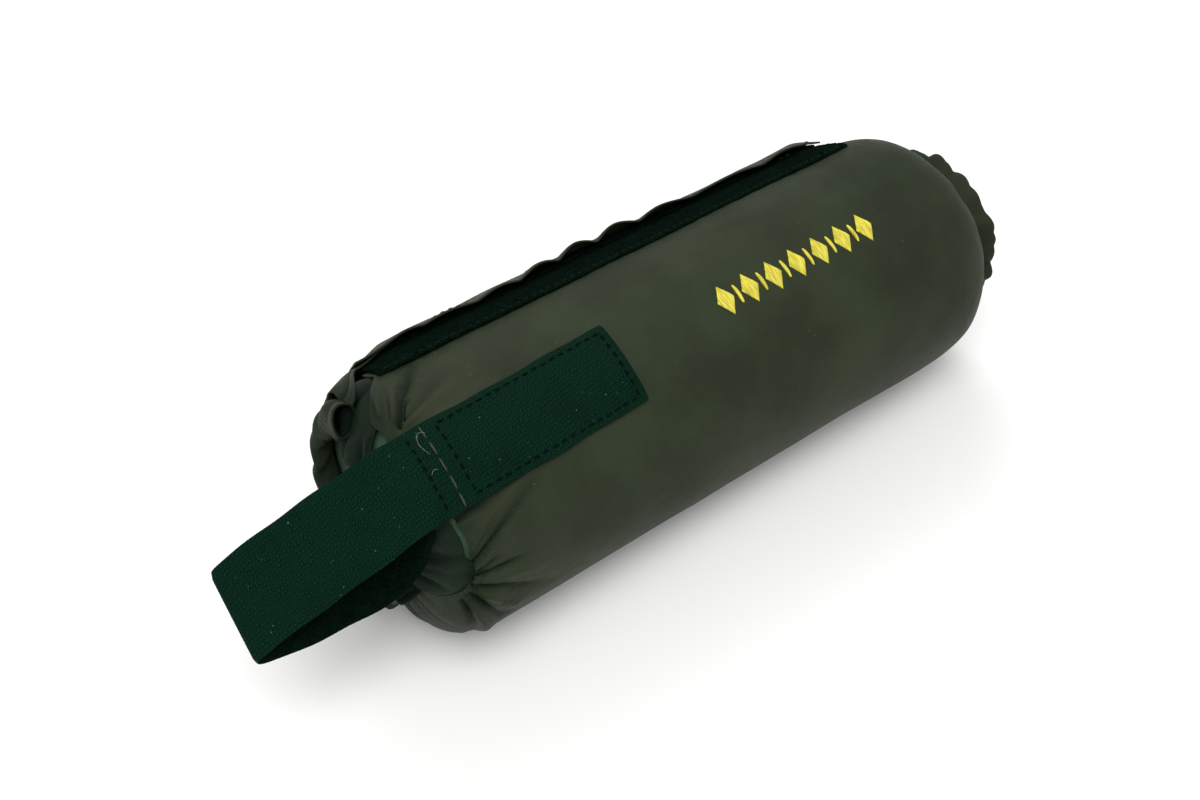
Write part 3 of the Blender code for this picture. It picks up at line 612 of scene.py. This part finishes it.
# ---------------------------------------------------------------------------------------------------------
# Flap: the cover's back edge, a separate strip lap-sewn at its hinge. It stands on the two tapes, and its
# free edge, puckered by the stitching of the hook tape under it, rises in a row of small waves.
FLAP_EDGE = 133.0
FLAP_LIFT = 0.0030
FLAP_RISE = 151.0
FLAP_OVERLAP = 172.5


def under_flap(angle):
    """Height of the flap's inner face: level with the cover at its hinge, clear of the tapes at its edge."""
    return FLAP_LIFT * smooth_step((HINGE_ANGLE - angle) / (HINGE_ANGLE - FLAP_RISE))


def edge_waves(x):
    """The puckered edge's rise: sharp-topped waves 15 to 30 mm long, each of its own height, up to 3 mm."""
    phase = x * 1000 / 23.0 + 0.50 * np.sin(x * 1000 / 31.0 + 1.0)
    crest = np.abs(np.sin(np.pi * phase)) ** 1.2
    kept = smooth_step((x - SEAM_ENDS[0] - 0.010) / 0.018) * smooth_step((SEAM_ENDS[1] - x - 0.008) / 0.022)
    rise = crest * (0.0020 + 0.0010 * np.sin(x * 1000 / 17.0 + 2.0))
    return kept * (rise + 0.0003 * drift(x * 110, 0 * x, 71))


flap_x = np.linspace(SEAM_ENDS[0] + 0.0003, SEAM_ENDS[1] - 0.0003, 330)[:, None]
flap_share = np.linspace(0.0, 1.0, 44)[None, :]
flap_edge_here = FLAP_EDGE + 0.9 * drift(flap_x * 120, 0 * flap_x, 73)
flap_angle = FLAP_OVERLAP + (flap_edge_here - FLAP_OVERLAP) * flap_share
_, flap_radius = cloth_profile(barrel_run(flap_x), flap_angle)
near_free_edge = smooth_step((FLAP_EDGE + 8.5 - flap_angle) / 8.5)
flap_height = under_flap(flap_angle) + 0.0006 + (edge_waves(flap_x) + 0.0006) * near_free_edge
flap_height = flap_height - 0.0016 * smooth_step((flap_x - SEAM_ENDS[1] + 0.014) / 0.014) * near_free_edge
flap_height = flap_height + 0.00035 * drift(flap_x * 160, flap_angle / 7, 77)
flap_height = flap_height + 0.0006 * smooth_step((flap_angle - HINGE_ANGLE + 1.5) / 1.5)
flap = cloth_mesh("closing_flap", around_axis(flap_x, flap_angle, flap_radius + flap_height))
dress(flap, cover_finish, offset=0.0)
hinge_at = around_axis(0.0, HINGE_ANGLE, SLEEVE_RADIUS)
past_hinge = around_axis(0.0, HINGE_ANGLE - 6.0, SLEEVE_RADIUS)
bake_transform(flap)
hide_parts("closure_flap")

HOOK_ANGLES = (137.0, 158.0)
hook_band = seam_tape("hook_band", (SEAM_ENDS[0] + 0.0008, SEAM_ENDS[1] - 0.0008), HOOK_ANGLES,
                      lambda angle: under_flap(angle) - 0.0012, lambda angle: under_flap(angle) - 0.0003,
                      (240, 30), 0.00005, 62)


def hook_tape_finish(name, place, deep, lit, pitch=1000.0):
    """Woven hook tape: rows of small stiff hooks at 1 mm, lighter at their tips, over a dark ground."""
    tape = Finish(name, Specular_IOR_Level=0.035)
    place = tape.surface_place() if place == "surface" else tape.object_place()
    row = tape.stretched(place, (pitch, pitch * 0.86, pitch), (0.0, 0.0, 0.09))
    hook = tape.cells(row, 1.0, jitter=0.42)
    tip = 1.0 - hook.step_up(0.12, 0.62)
    ground = tape.noise(place, 2600.0, 2.0, 0.6)
    worn = tape.noise(place, 55.0, 5.0, 0.6)
    color = tape.blend(tip * 0.50 + ground * 0.40, deep, lit)
    color = tape.blend(worn.step_up(0.45, 0.75) * 0.35, color, deep)
    fleck = 1.0 - tape.cells(place, 330.0).step_up(0.05, 0.09)
    fleck = fleck * tape.noise(place, 60.0, 2.0).step_up(0.50, 0.56)
    color = tape.blend(fleck * 0.45, color, (0.26, 0.31, 0.25))
    rough = 0.52 + 0.25 * ground
    return tape.wear(Base_Color=color, Roughness=rough, Normal=tape.relief(tip + 0.2 * ground, 0.00080, 1.0))


TAPE_DEEP, TAPE_LIT = (0.0005, 0.0085, 0.0044), (0.0042, 0.0345, 0.0178)
hook_band.data.materials.append(hook_tape_finish("seam_hook_tape", "object", PILE_DARK, TAPE_DEEP))
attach(hook_band, "flap")
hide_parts("closure_hook_tape")


# ---------------------------------------------------------------------------------------------------------
# Wing: at the strap end the cover's back edge swings out over the front, loose and unsewn, on its way to the
# mouth, and its drawn channel ends there in an open roll.
WING_EDGE = (135.5, 108.0)


def wing_trim(angle):
    """The wing's mouth edge as a run: at the drawn mouth behind, rising up the dome towards its free edge."""
    return 0.56 * smooth_step((168.0 - angle) / 48.0)


def wing_place(share, angle_share):
    """The wing at shares along x and across; its free edge swings forward as it nears the mouth."""
    edge = WING_EDGE[0] + (WING_EDGE[1] - WING_EDGE[0]) * smooth_step(1.0 - share) ** 0.8
    angle = HINGE_ANGLE + (edge - HINGE_ANGLE) * angle_share
    first = wing_trim(angle)
    at = first + (1.075 - first) * share
    x, radius = cloth_profile(at, angle)
    over = 0.0008 + (0.0026 * share**4 + 0.0038 * (1 - share) ** 2) * smooth_step(angle_share * 1.4)
    loose = np.maximum(1 - share, 0.0) ** 0.6
    fold = 0.0018 * np.sin(9.5 * angle_share + 2.2 * (1 - share)) * loose * smooth_step(angle_share * 2)
    fold = fold - 0.0030 * np.exp(-(((angle_share - 0.56 - 0.25 * share) / 0.06) ** 2)) * loose
    fold = fold - 0.0024 * np.exp(-(((angle_share - 0.80 - 0.12 * share) / 0.045) ** 2)) * loose
    return x, angle, radius + over + fold, smooth_step(-fold / 0.0020) * 0.9 * smooth_step(share / 0.05)


share = np.linspace(0, 1, 60)[:, None]
wing_x, wing_angle, wing_radius, wing_depth = wing_place(share, np.linspace(0, 1, 70)[None, :])
wing_pull = near_pleats(wing_angle, DOME_ARCS[0] * share) * smooth_step((wing_angle - 120.0) / 30.0)
wing_depth = np.maximum(np.maximum(wing_depth, 0.34), 0.9 * valley(wing_pull, 0.0003))
wing = cloth_mesh("loose_wing", around_axis(wing_x, wing_angle, wing_radius + wing_pull), dark=wing_depth)
dress(wing, cover_finish, offset=0.0)
tuple(around_axis(SEAM_ENDS[0] - 0.012, 150.0, SLEEVE_RADIUS))
tuple(around_axis(SEAM_ENDS[0] + 0.001, 150.0, SLEEVE_RADIUS))
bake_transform(wing)


# ---------------------------------------------------------------------------------------------------------
# Hems: the cover's ends are folded over an elastic cord and sewn, and the cord draws them into frills. The
# far one closes on itself; the near one ends at the wing in an open roll.
HEM_WIDTH = 0.0098
HEM_FULL = 0.0034
FAR_FLARE, NEAR_FLARE, WING_FLARE = 0.80, 0.12, -0.42
NEAR_HEM = (-6.0, -250.0)


def hem_points(side, angle, turn, width, full):
    """A folded channel: an oval section, turn going round it, carried along the mouth and thrown in and out
    by the same pleats as the cover, which deepen towards its free edge."""
    out = width / 2 * (1.0 - np.cos(turn))
    across = full / 2 * np.sin(turn) * (0.75 + 0.5 * out / width)
    if side > 0:
        x, radius = HALF_LENGTH, FAR_MOUTH
        pleat = far_pleats(angle, 0.0)
        flare = FAR_FLARE + 0.06 * np.sin(np.radians(angle * 3 + 40))
    else:
        behind = np.mod(angle, 360.0)
        wing_here = (behind > 100.0) & (behind < HINGE_ANGLE)
        at = np.where(wing_here, wing_trim(behind), front_trim(angle) * (angle > -90))
        x, radius = cloth_profile(at, angle)
        on_wing = smooth_step((behind - 96.0) / 8.0) * smooth_step((196.0 - behind) / 30.0)
        pleat = near_pleats(angle, 0.0)
        flare = NEAR_FLARE + (WING_FLARE - NEAR_FLARE) * on_wing
    throw = pleat * (0.6 + 1.5 * out / width)
    return around_axis(x + side * (out - 0.0012), angle, radius + flare * out + across + throw)


def make_hem(name, side, angle, width, full, closed):
    """One frill's cloth, olive outside and dark inside; the strap end's is darker in its pleats."""
    turn = np.linspace(0, 2 * np.pi, 36, endpoint=False)[None, :]
    pleats = far_pleats(angle, 0.0) if side > 0 else near_pleats(angle, 0.0)
    hem = cloth_mesh(name, hem_points(side, angle, turn, width, full), closed=(closed, True),
                     dark=np.maximum(0.8 * valley(pleats), 0.2 - 0.2 * side))
    dress(hem, cover_finish).material_offset = 1
    hem.data.materials.append(inner_finish)
    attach(hem, "sleeve")
    return hem


far_angle = np.linspace(0, 360, 420, endpoint=False)[:, None]
far_hem = make_hem("far_frill", 1, far_angle, HEM_WIDTH, HEM_FULL, True)
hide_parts("far_hem")
near_angle = np.linspace(*NEAR_HEM, 400)[:, None]
opening = smooth_step((-near_angle - 205.0) / 40.0)
near_width, near_full = HEM_WIDTH - 0.0008 * opening, HEM_FULL + 0.0080 * opening
near_hem = make_hem("near_frill", -1, near_angle, near_width, near_full, False)
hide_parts("near_hem")


def round_cord(name, path, radius, sides, closed=False):
    """A tube: a circle carried along a path, standing on the path's own tangent."""
    along = np.gradient(path, axis=0)
    along /= np.linalg.norm(along, axis=1, keepdims=True)
    up = np.cross(along, [1.0, 0.13, 0.07])
    up /= np.linalg.norm(up, axis=1, keepdims=True)
    side = np.cross(along, up)
    turn = np.linspace(0, 2 * np.pi, sides, endpoint=False)[None, :, None]
    ring = radius * (np.cos(turn) * up[:, None] + np.sin(turn) * side[:, None])
    points = path[:, None] + ring
    if not closed:
        points = np.concatenate([path[:1, None].repeat(sides, 1), points, path[-1:, None].repeat(sides, 1)])
    return close_poles(cloth_mesh(name, points, closed=(closed, True)))


elastic_finish = Finish("braided_elastic", Specular_IOR_Level=0.08)
place = elastic_finish.object_place()
braid = elastic_finish.cells(place, 1300.0, jitter=0.3)
elastic_finish.wear(Base_Color=elastic_finish.blend(braid, (0.014, 0.022, 0.015), (0.005, 0.009, 0.006)),
                    Roughness=0.7 + 0.15 * braid, Normal=elastic_finish.relief(braid, 0.0003, 0.7))
ELASTIC_RADIUS = 0.0009
for name, side, angle, width, closed in (("near_elastic", -1, near_angle[12:-60, 0], HEM_WIDTH, False),
                                         ("far_elastic", 1, far_angle[:, 0], HEM_WIDTH, True)):
    cord_path = hem_points(side, angle, np.pi / 2, width, 0.0)
    cord = round_cord(name + "_cord", cord_path, ELASTIC_RADIUS, 8, closed)
    cord.data.materials.append(elastic_finish.material)
    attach(cord, "sleeve")
    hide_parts(name)


# ---------------------------------------------------------------------------------------------------------
# Strap: one length of 30 mm touch-fastener tape, hooks outward and pile inward. It is box-stitched to the
# cover, runs out past the strap end as a hand loop that sags under its own weight, and is sewn back in
# beneath itself. One mesh holds it all, so that it bends at the root as tape does.
STRAP_WIDTH, STRAP_THICK, STRAP_GAP = 0.030, 0.0018, 0.0003
STRAP_RADIUS = SLEEVE_RADIUS + 0.0006
STRAP_ANGLES = (60.0, 63.0)
STRAP_ROOT = SHOULDERS[0] - 0.0113
STRAP_SEWN = 0.080
STRAP_RETURN = 0.0055
SELVEDGE = 0.0019
LOOP_ROUTE = (
    (0.0136, 0.0001, -0.0024, -2.0), (0.0301, 0.0003, -0.0069, -5.0), (0.0465, 0.0008, -0.0118, -10.0),
    (0.0583, 0.0015, -0.0155, -14.0), (0.0632, 0.0020, -0.0182, -16.0), (0.0611, 0.0020, -0.0206, -16.0),
    (0.0512, 0.0016, -0.0228, -15.0), (0.0348, 0.0012, -0.0247, -14.0), (0.0197, 0.0009, -0.0242, -12.0),
    (0.0103, 0.0005, -0.0183, -7.0), (0.0052, 0.0008, -0.0082, -2.0),
)


def strap_angle(x):
    """The sewn tape's middle, a little askew: it eases from its angle at the root to that at its end."""
    share = np.clip((x - STRAP_ROOT) / STRAP_SEWN, 0.0, 1.0)
    return STRAP_ANGLES[0] + (STRAP_ANGLES[1] - STRAP_ANGLES[0]) * share


def through(points, steps):
    """A curve through every point; each tangent comes from the point's neighbours (Catmull-Rom)."""
    padded = np.vstack([2 * points[0] - points[1], points, 2 * points[-1] - points[-2]])
    share = np.linspace(0.0, 1.0, steps, endpoint=False)[None, :, None]
    before, here, there, after = (padded[i:len(padded) - 3 + i, None] for i in range(4))
    squared = before - 2.5 * here + 2 * there - 0.5 * after
    cubed = 1.5 * (here - there) + 0.5 * (after - before)
    curve = here + 0.5 * (there - before) * share + squared * share**2 + cubed * share**3
    return np.vstack([curve.reshape(-1, points.shape[1]), points[-1:]])


def evenly(path, step):
    """A path's columns read again at even distances along its first three, about step apart."""
    along = np.concatenate([[0], np.cumsum(np.linalg.norm(np.diff(path[:, :3], axis=0), axis=1))])
    at = np.linspace(0, along[-1], int(along[-1] / step) + 1)
    return np.stack([np.interp(at, along, column) for column in path.T], axis=1), at


sewn_x = np.linspace(STRAP_ROOT + STRAP_SEWN, STRAP_ROOT, 41)
middle_radius = STRAP_RADIUS + STRAP_THICK / 2
sewn = np.column_stack([around_axis(sewn_x, strap_angle(sewn_x), middle_radius), strap_angle(sewn_x),
                        0 * sewn_x + 1.0])
root = around_axis(STRAP_ROOT, STRAP_ANGLES[0], middle_radius)
route = np.array(LOOP_ROUTE)
hung = np.column_stack([root + route[:, :3] * (-1.0, 1.0, 1.0), STRAP_ANGLES[0] + route[:, 3],
                        np.exp(-route[:, 0] / 0.010) * np.linspace(1, -1, len(route))])
back_x = np.linspace(STRAP_ROOT, STRAP_ROOT + STRAP_RETURN + 0.0004, 5)
back = np.column_stack([around_axis(back_x, STRAP_ANGLES[0], middle_radius - STRAP_THICK - STRAP_GAP),
                        0 * back_x + STRAP_ANGLES[0], 0 * back_x - 1.0])
strap_path, strap_along = evenly(through(np.vstack([sewn, hung, back]), 8), 0.0008)
strap_turn = np.radians(strap_path[:, 3])
wide = np.stack([0 * strap_turn, np.sin(strap_turn), np.cos(strap_turn)], axis=-1)
ahead = np.gradient(strap_path[:, :3], axis=0)
strap_out = np.cross(wide, ahead)
strap_out /= np.linalg.norm(strap_out, axis=1, keepdims=True)


def strap_place(index, across, height):
    """A point of the tape: its middle, then across it on an arc as curved as the sleeve where it is sewn and
    flat in the loop, then up off its middle layer."""
    curl = strap_path[index, 4][..., None]
    curl = np.where(np.abs(curl) < 0.02, 0.02, curl) / middle_radius
    across, height = np.asarray(across)[..., None], np.asarray(height)[..., None]
    turn = across * curl
    reach = 1 / curl + height
    return (strap_path[index, :3] + wide[index] * np.sin(turn) * reach
            + strap_out[index] * (np.cos(turn) * reach - 1 / curl))


HALF = STRAP_WIDTH / 2
face_across = np.concatenate([[-HALF, -HALF + 0.0004], np.linspace(-HALF + SELVEDGE, HALF - SELVEDGE, 30),
                              [HALF - 0.0004, HALF]])
inside_selvedge = (np.abs(face_across) < HALF - SELVEDGE + 1e-6)
crown = np.where(inside_selvedge, 1.0, np.where(np.abs(face_across) > HALF - 0.0002, 0.18, 0.5))
outline_across = np.concatenate([face_across, face_across[::-1]])
outline_height = np.concatenate([crown, -crown[::-1]]) * STRAP_THICK / 2
ring = np.arange(len(strap_path))[:, None]
edge_sway = 0.00022 * np.sin(ring * 0.09) + 0.00018 * np.sin(ring * 0.23 + 1.0)
tucked_in = 1.0 - 0.13 * smooth_step((strap_along[:, None] - strap_along[-1] + 0.0150) / 0.0060)
strap_rows = capped(strap_place(ring, outline_across[None, :] * tucked_in + edge_sway,
                                outline_height[None, :] + 0 * ring))
strap_uv = np.stack(np.broadcast_arrays(np.concatenate([[0], strap_along, strap_along[-1:]])[:, None],
                                        outline_across[None, :]), axis=-1)
strap = cloth_mesh("strap_webbing", strap_rows, strap_uv, closed=(False, True))
strap_hooks = hook_tape_finish("strap_hook_tape", "surface", TAPE_DEEP, TAPE_LIT, 850.0)
strap.data.materials.append(strap_hooks)
strap.data.materials.append(pile_finish.material)
inner_face = np.arange(len(strap.data.polygons)) % len(outline_across) >= len(face_across)
strap.data.polygons.foreach_set("material_index", inner_face.astype(np.int32))
close_poles(strap)
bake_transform(strap)
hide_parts("strap_loop", "strap_sewn_leg", "strap_return_end")


# ---------------------------------------------------------------------------------------------------------
# Stitching: lockstitch in dashes of about 2.6 mm. Each stitch is a short length of thread whose ends dive
# into the cloth. The row at the cover's edge is a heavier brown thread; the rest is dark green.
STITCH, STITCH_GAP = 0.0025, 0.0007
THREAD = 0.00024


def sewn_thread(name, color, lit):
    """Twisted thread: its ply runs aslant as fine bands, between two colours."""
    thread = Finish(name, Specular_IOR_Level=0.04)
    place = thread.object_place()
    ply = thread.add("ShaderNodeTexWave", {"bands_direction": "DIAGONAL"},
                     {"Vector": place, "Scale": 900.0, "Distortion": 1.5})
    lint = thread.noise(place, 700.0)
    return thread.wear(Base_Color=thread.blend(ply * 0.6 + lint * 0.4, color, lit),
                       Roughness=0.5 + 0.2 * lint, Normal=thread.relief(ply, 0.00008, 0.7))


def stitch_row(name, path, up, finish, body, cad_node, thread=THREAD, length=STITCH, gap=STITCH_GAP,
               closed=False):
    """Dashes along a path: each a tube whose middle rises on a half sine and whose ends taper and sink."""
    table, at = evenly(np.column_stack([path, np.broadcast_to(up, path.shape)]), 0.0004)
    count = max(1, int((at[-1] + (0 if closed else gap)) / (length + gap)))
    pitch = at[-1] / count if closed else (at[-1] + gap) / count
    share = np.linspace(0.0, 1.0, 7)
    where = np.arange(count)[:, None] * pitch + share[None, :] * (pitch - gap)
    middle = np.stack([np.interp(where, at, table[:, k]) for k in range(3)], axis=-1)
    rise = np.stack([np.interp(where, at, table[:, k]) for k in range(3, 6)], axis=-1)
    rise /= np.linalg.norm(rise, axis=-1, keepdims=True)
    ahead = np.gradient(middle, axis=1)
    ahead /= np.linalg.norm(ahead, axis=-1, keepdims=True)
    side = np.cross(ahead, rise)
    wobble = np.sin(np.arange(count) * 2.4)[:, None, None] * 0.00008
    bow = thread * 1.1 * np.sin(np.pi * share) ** 0.7 - thread * 0.7
    middle = middle + rise * bow[None, :, None] + side * wobble
    turn = np.linspace(0, 2 * np.pi, 7, endpoint=False)
    taper = thread * np.array([0.0, 0.75, 1.0, 1.0, 1.0, 0.75, 0.0])
    ring = np.cos(turn)[:, None] * rise[:, :, None] + np.sin(turn)[:, None] * side[:, :, None]
    points = middle[:, :, None] + taper[None, :, None, None] * ring
    corner = np.arange(count * 49).reshape(count, 7, 7)
    turned = np.roll(corner, -1, axis=2)
    faces = np.stack([corner[:, :-1], corner[:, 1:], turned[:, 1:], turned[:, :-1]], axis=-1).reshape(-1, 4)
    mesh = bpy.data.meshes.new(name)
    mesh.from_pydata(points.reshape(-1, 3), [], faces)
    mesh.shade_smooth()
    row = close_poles(bpy.data.objects.new(name, mesh))
    bpy.context.scene.collection.objects.link(row)
    mesh.materials.append(finish)
    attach(row, body)
    if cad_node:
        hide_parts(cad_node)
    "brown_thread" if "edge_row" in name and "cover" in name else "dark_thread"
    return row


dark_thread = sewn_thread("dark_green_thread", (0.0015, 0.0070, 0.0042), (0.0070, 0.0190, 0.0120))
black_thread = sewn_thread("strap_thread", (0.0002, 0.0010, 0.0006), (0.0010, 0.0032, 0.0020))
brown_thread = sewn_thread("brown_thread", (0.026, 0.030, 0.016), (0.068, 0.070, 0.042))
inset = HALF - 0.0027
box_ends = (STRAP_ROOT + 0.0136, STRAP_ROOT + STRAP_SEWN - 0.0026)
EDGE_ROW_X, RETURN_ROW_X = STRAP_ROOT + 0.0087, STRAP_ROOT + 0.0030


def on_strap(x, across):
    """Points on the sewn tape's outer face and the way out of it, from x along the sleeve and the distance
    across the tape."""
    turn = strap_angle(x) + np.degrees(across / middle_radius)
    point = around_axis(x, turn, middle_radius + STRAP_THICK / 2)
    return point, around_axis(x, turn, middle_radius + 1.0) - point


long_x, short_across = np.linspace(*box_ends, 40), np.linspace(-inset, inset, 16)
box_x = np.concatenate([long_x, 0 * short_across + box_ends[1], long_x[::-1], 0 * short_across + box_ends[0]])
box_across = np.concatenate([0 * long_x - inset, short_across, 0 * long_x + inset, short_across[::-1]])
stitch_row("strap_box_row", *on_strap(box_x, box_across), black_thread, "sleeve", "strap_box_stitch",
           thread=0.00036, length=0.0027, gap=0.0008, closed=True)
full_across = np.linspace(-HALF + 0.0004, HALF - 0.0004, 16)
stitch_row("cover_edge_row", *on_strap(EDGE_ROW_X + 0 * full_across, full_across), brown_thread, "sleeve",
           "strap_cover_edge_stitch", thread=0.00034, length=0.0046, gap=0.0005)
stitch_row("return_row", *on_strap(RETURN_ROW_X + 0 * short_across, short_across), black_thread, "sleeve",
           "strap_return_stitch", thread=0.00036)

INNER_ROW = 156.6
row_x = np.linspace(SEAM_ENDS[0] + 0.003, SEAM_ENDS[1] - 0.003, 200)
for name, angle, height, body, node in (
        ("pile_front_row", SEAM_FRONT + 1.6, lambda x: 0.0014 + 0 * x, "sleeve", "pile_tape_stitch"),
        ("flap_edge_row", FLAP_EDGE + 3.4, lambda x: FLAP_LIFT + 0.0009 + edge_waves(x) * 0.8, "flap",
         "flap_edge_stitch"),
        ("flap_inner_row", INNER_ROW, lambda x: under_flap(INNER_ROW) + 0.0013 + 0 * x, "flap",
         "flap_inner_stitch"),
        ("lap_row", 171.2, lambda x: 0.0017 + 0 * x, "sleeve", None)):
    _, row_radius = cloth_profile(barrel_run(row_x), angle)
    sewn_line = around_axis(row_x, angle, row_radius + height(row_x))
    stitch_row(name, sewn_line, around_axis(row_x, angle, 1.0) - sewn_line, dark_thread, body, node)

for name, side, angle, width, full, closed in (
        ("near_hem_row", -1, near_angle[:, 0], near_width[:, 0], near_full[:, 0], False),
        ("far_hem_row", 1, far_angle[:, 0], HEM_WIDTH, HEM_FULL, True)):
    hem_line = hem_points(side, angle, 1.05, width, full)
    hem_out = around_axis(0.0, angle, 1.0) - around_axis(0.0, angle, 0.5)
    stitch_row(name, hem_line, hem_out, dark_thread, "sleeve", name.replace("_row", "_stitch"),
               thread=0.00018, length=0.0019, closed=closed)


# ---------------------------------------------------------------------------------------------------------
# Lint: pale thread ends caught on the hooks by the strap's root. Each wisp is a fine fibre laid in a loose
# curl over the tape.
WISP_RADIUS = 0.00005
lint_finish = Finish("pale_lint", Sheen_Weight=0.3)
place = lint_finish.object_place()
fluff = lint_finish.noise(place, 900.0)
lint_finish.wear(Base_Color=lint_finish.blend(fluff, (0.10, 0.13, 0.09), (0.26, 0.29, 0.21)),
                 Roughness=0.7 + 0.2 * fluff)
rng = np.random.default_rng(91)
for number in range(4):
    along = np.linspace(0, 1, 24)
    curl, size, start = rng.uniform(1.2, 2.6), rng.uniform(0.0008, 0.0017), rng.uniform(0, 6.3)
    wisp_x = STRAP_ROOT + rng.uniform(0.004, 0.015)
    wisp_x = wisp_x + size * (np.sin(curl * along + start) + rng.uniform(-1, 1) * along)
    wisp_across = rng.uniform(-0.010, 0.012)
    wisp_across = wisp_across + size * 1.6 * (np.cos(curl * along + start) + rng.uniform(-1, 1) * along)
    point, up = on_strap(wisp_x, wisp_across)
    up /= np.linalg.norm(up, axis=1, keepdims=True)
    point = point + up * (0.0004 + 0.0008 * np.sin(np.pi * along))[:, None]
    wisp = round_cord(f"lint_wisp_{number + 1}", point, WISP_RADIUS, 5)
    wisp.data.materials.append(lint_finish.material)
    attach(wisp, "sleeve")


# ---------------------------------------------------------------------------------------------------------
# Embroidery: a plain row of satin-stitched lozenges and bars in bright yellow thread, standing proud of the
# cover. The threads lie side by side across each shape.
MOTIF_START, MOTIF_LENGTH, MOTIF_ANGLE = 0.001, 0.072, 66.0
LOZENGES, LOZENGE_TALL, LOZENGE_LONG = 7, 0.012, 0.0072
BAR_TALL, BAR_LONG = 0.0075, 0.0012
SATIN_PITCH, SATIN_PROUD = 0.00042, 0.00075
yellow_finish = Finish("yellow_satin_thread", Specular_IOR_Level=0.25)
place = yellow_finish.object_place()
strand = yellow_finish.noise(yellow_finish.stretched(place, (2600.0, 260.0, 260.0)), 1.0, 2.0)
yellow_finish.wear(
    Base_Color=yellow_finish.blend(strand.step_up(0.3, 0.7), (0.40, 0.34, 0.022), (0.70, 0.62, 0.070)),
    Roughness=0.32 + 0.2 * strand, Normal=yellow_finish.relief(strand, 0.00012, 0.6))


def satin_shape(name, middle, long, half_tall, node):
    """A stitched shape: round in section across it, ribbed along it once per thread, closed at both tips."""
    steps = max(13, int(long / SATIN_PITCH) * 6 + 1)
    place = np.linspace(-1, 1, steps)[:, None]
    turn = np.linspace(0, 2 * np.pi, 22, endpoint=False)[None, :]
    rib = np.abs(np.sin(np.pi * (place + 1) / 2 * long / SATIN_PITCH)) ** 0.6
    tall = half_tall(place) * (0.965 + 0.035 * rib)
    plump = SATIN_PROUD * np.minimum(1.0, tall / 0.0016) * (0.80 + 0.20 * rib)
    height = 0.0002 + plump * np.maximum(np.sin(turn), -0.15)
    angle = MOTIF_ANGLE + np.degrees(tall * np.cos(turn) / SLEEVE_RADIUS)
    points = around_axis(middle + place * long / 2, angle, SLEEVE_RADIUS + height)
    shape = close_poles(cloth_mesh(name, points, closed=(False, True)))
    shape.data.materials.append(yellow_finish.material)
    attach(shape, "sleeve")
    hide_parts(node)


motif_pitch = (MOTIF_LENGTH - LOZENGE_LONG) / (LOZENGES - 1)
for number in range(1, LOZENGES + 1):
    middle = MOTIF_START + LOZENGE_LONG / 2 + (number - 1) * motif_pitch
    satin_shape(f"satin_lozenge_{number}", middle, LOZENGE_LONG,
                lambda place: LOZENGE_TALL / 2 * np.maximum(1 - np.abs(place), 0.0),
                f"embroidered_lozenge_{number}")
    if number < LOZENGES:
        satin_shape(f"satin_bar_{number}", middle + motif_pitch / 2, BAR_LONG,
                    lambda place: BAR_TALL / 2 * np.sqrt(np.maximum(1 - place**4, 0.0)),
                    f"embroidered_bar_{number}")
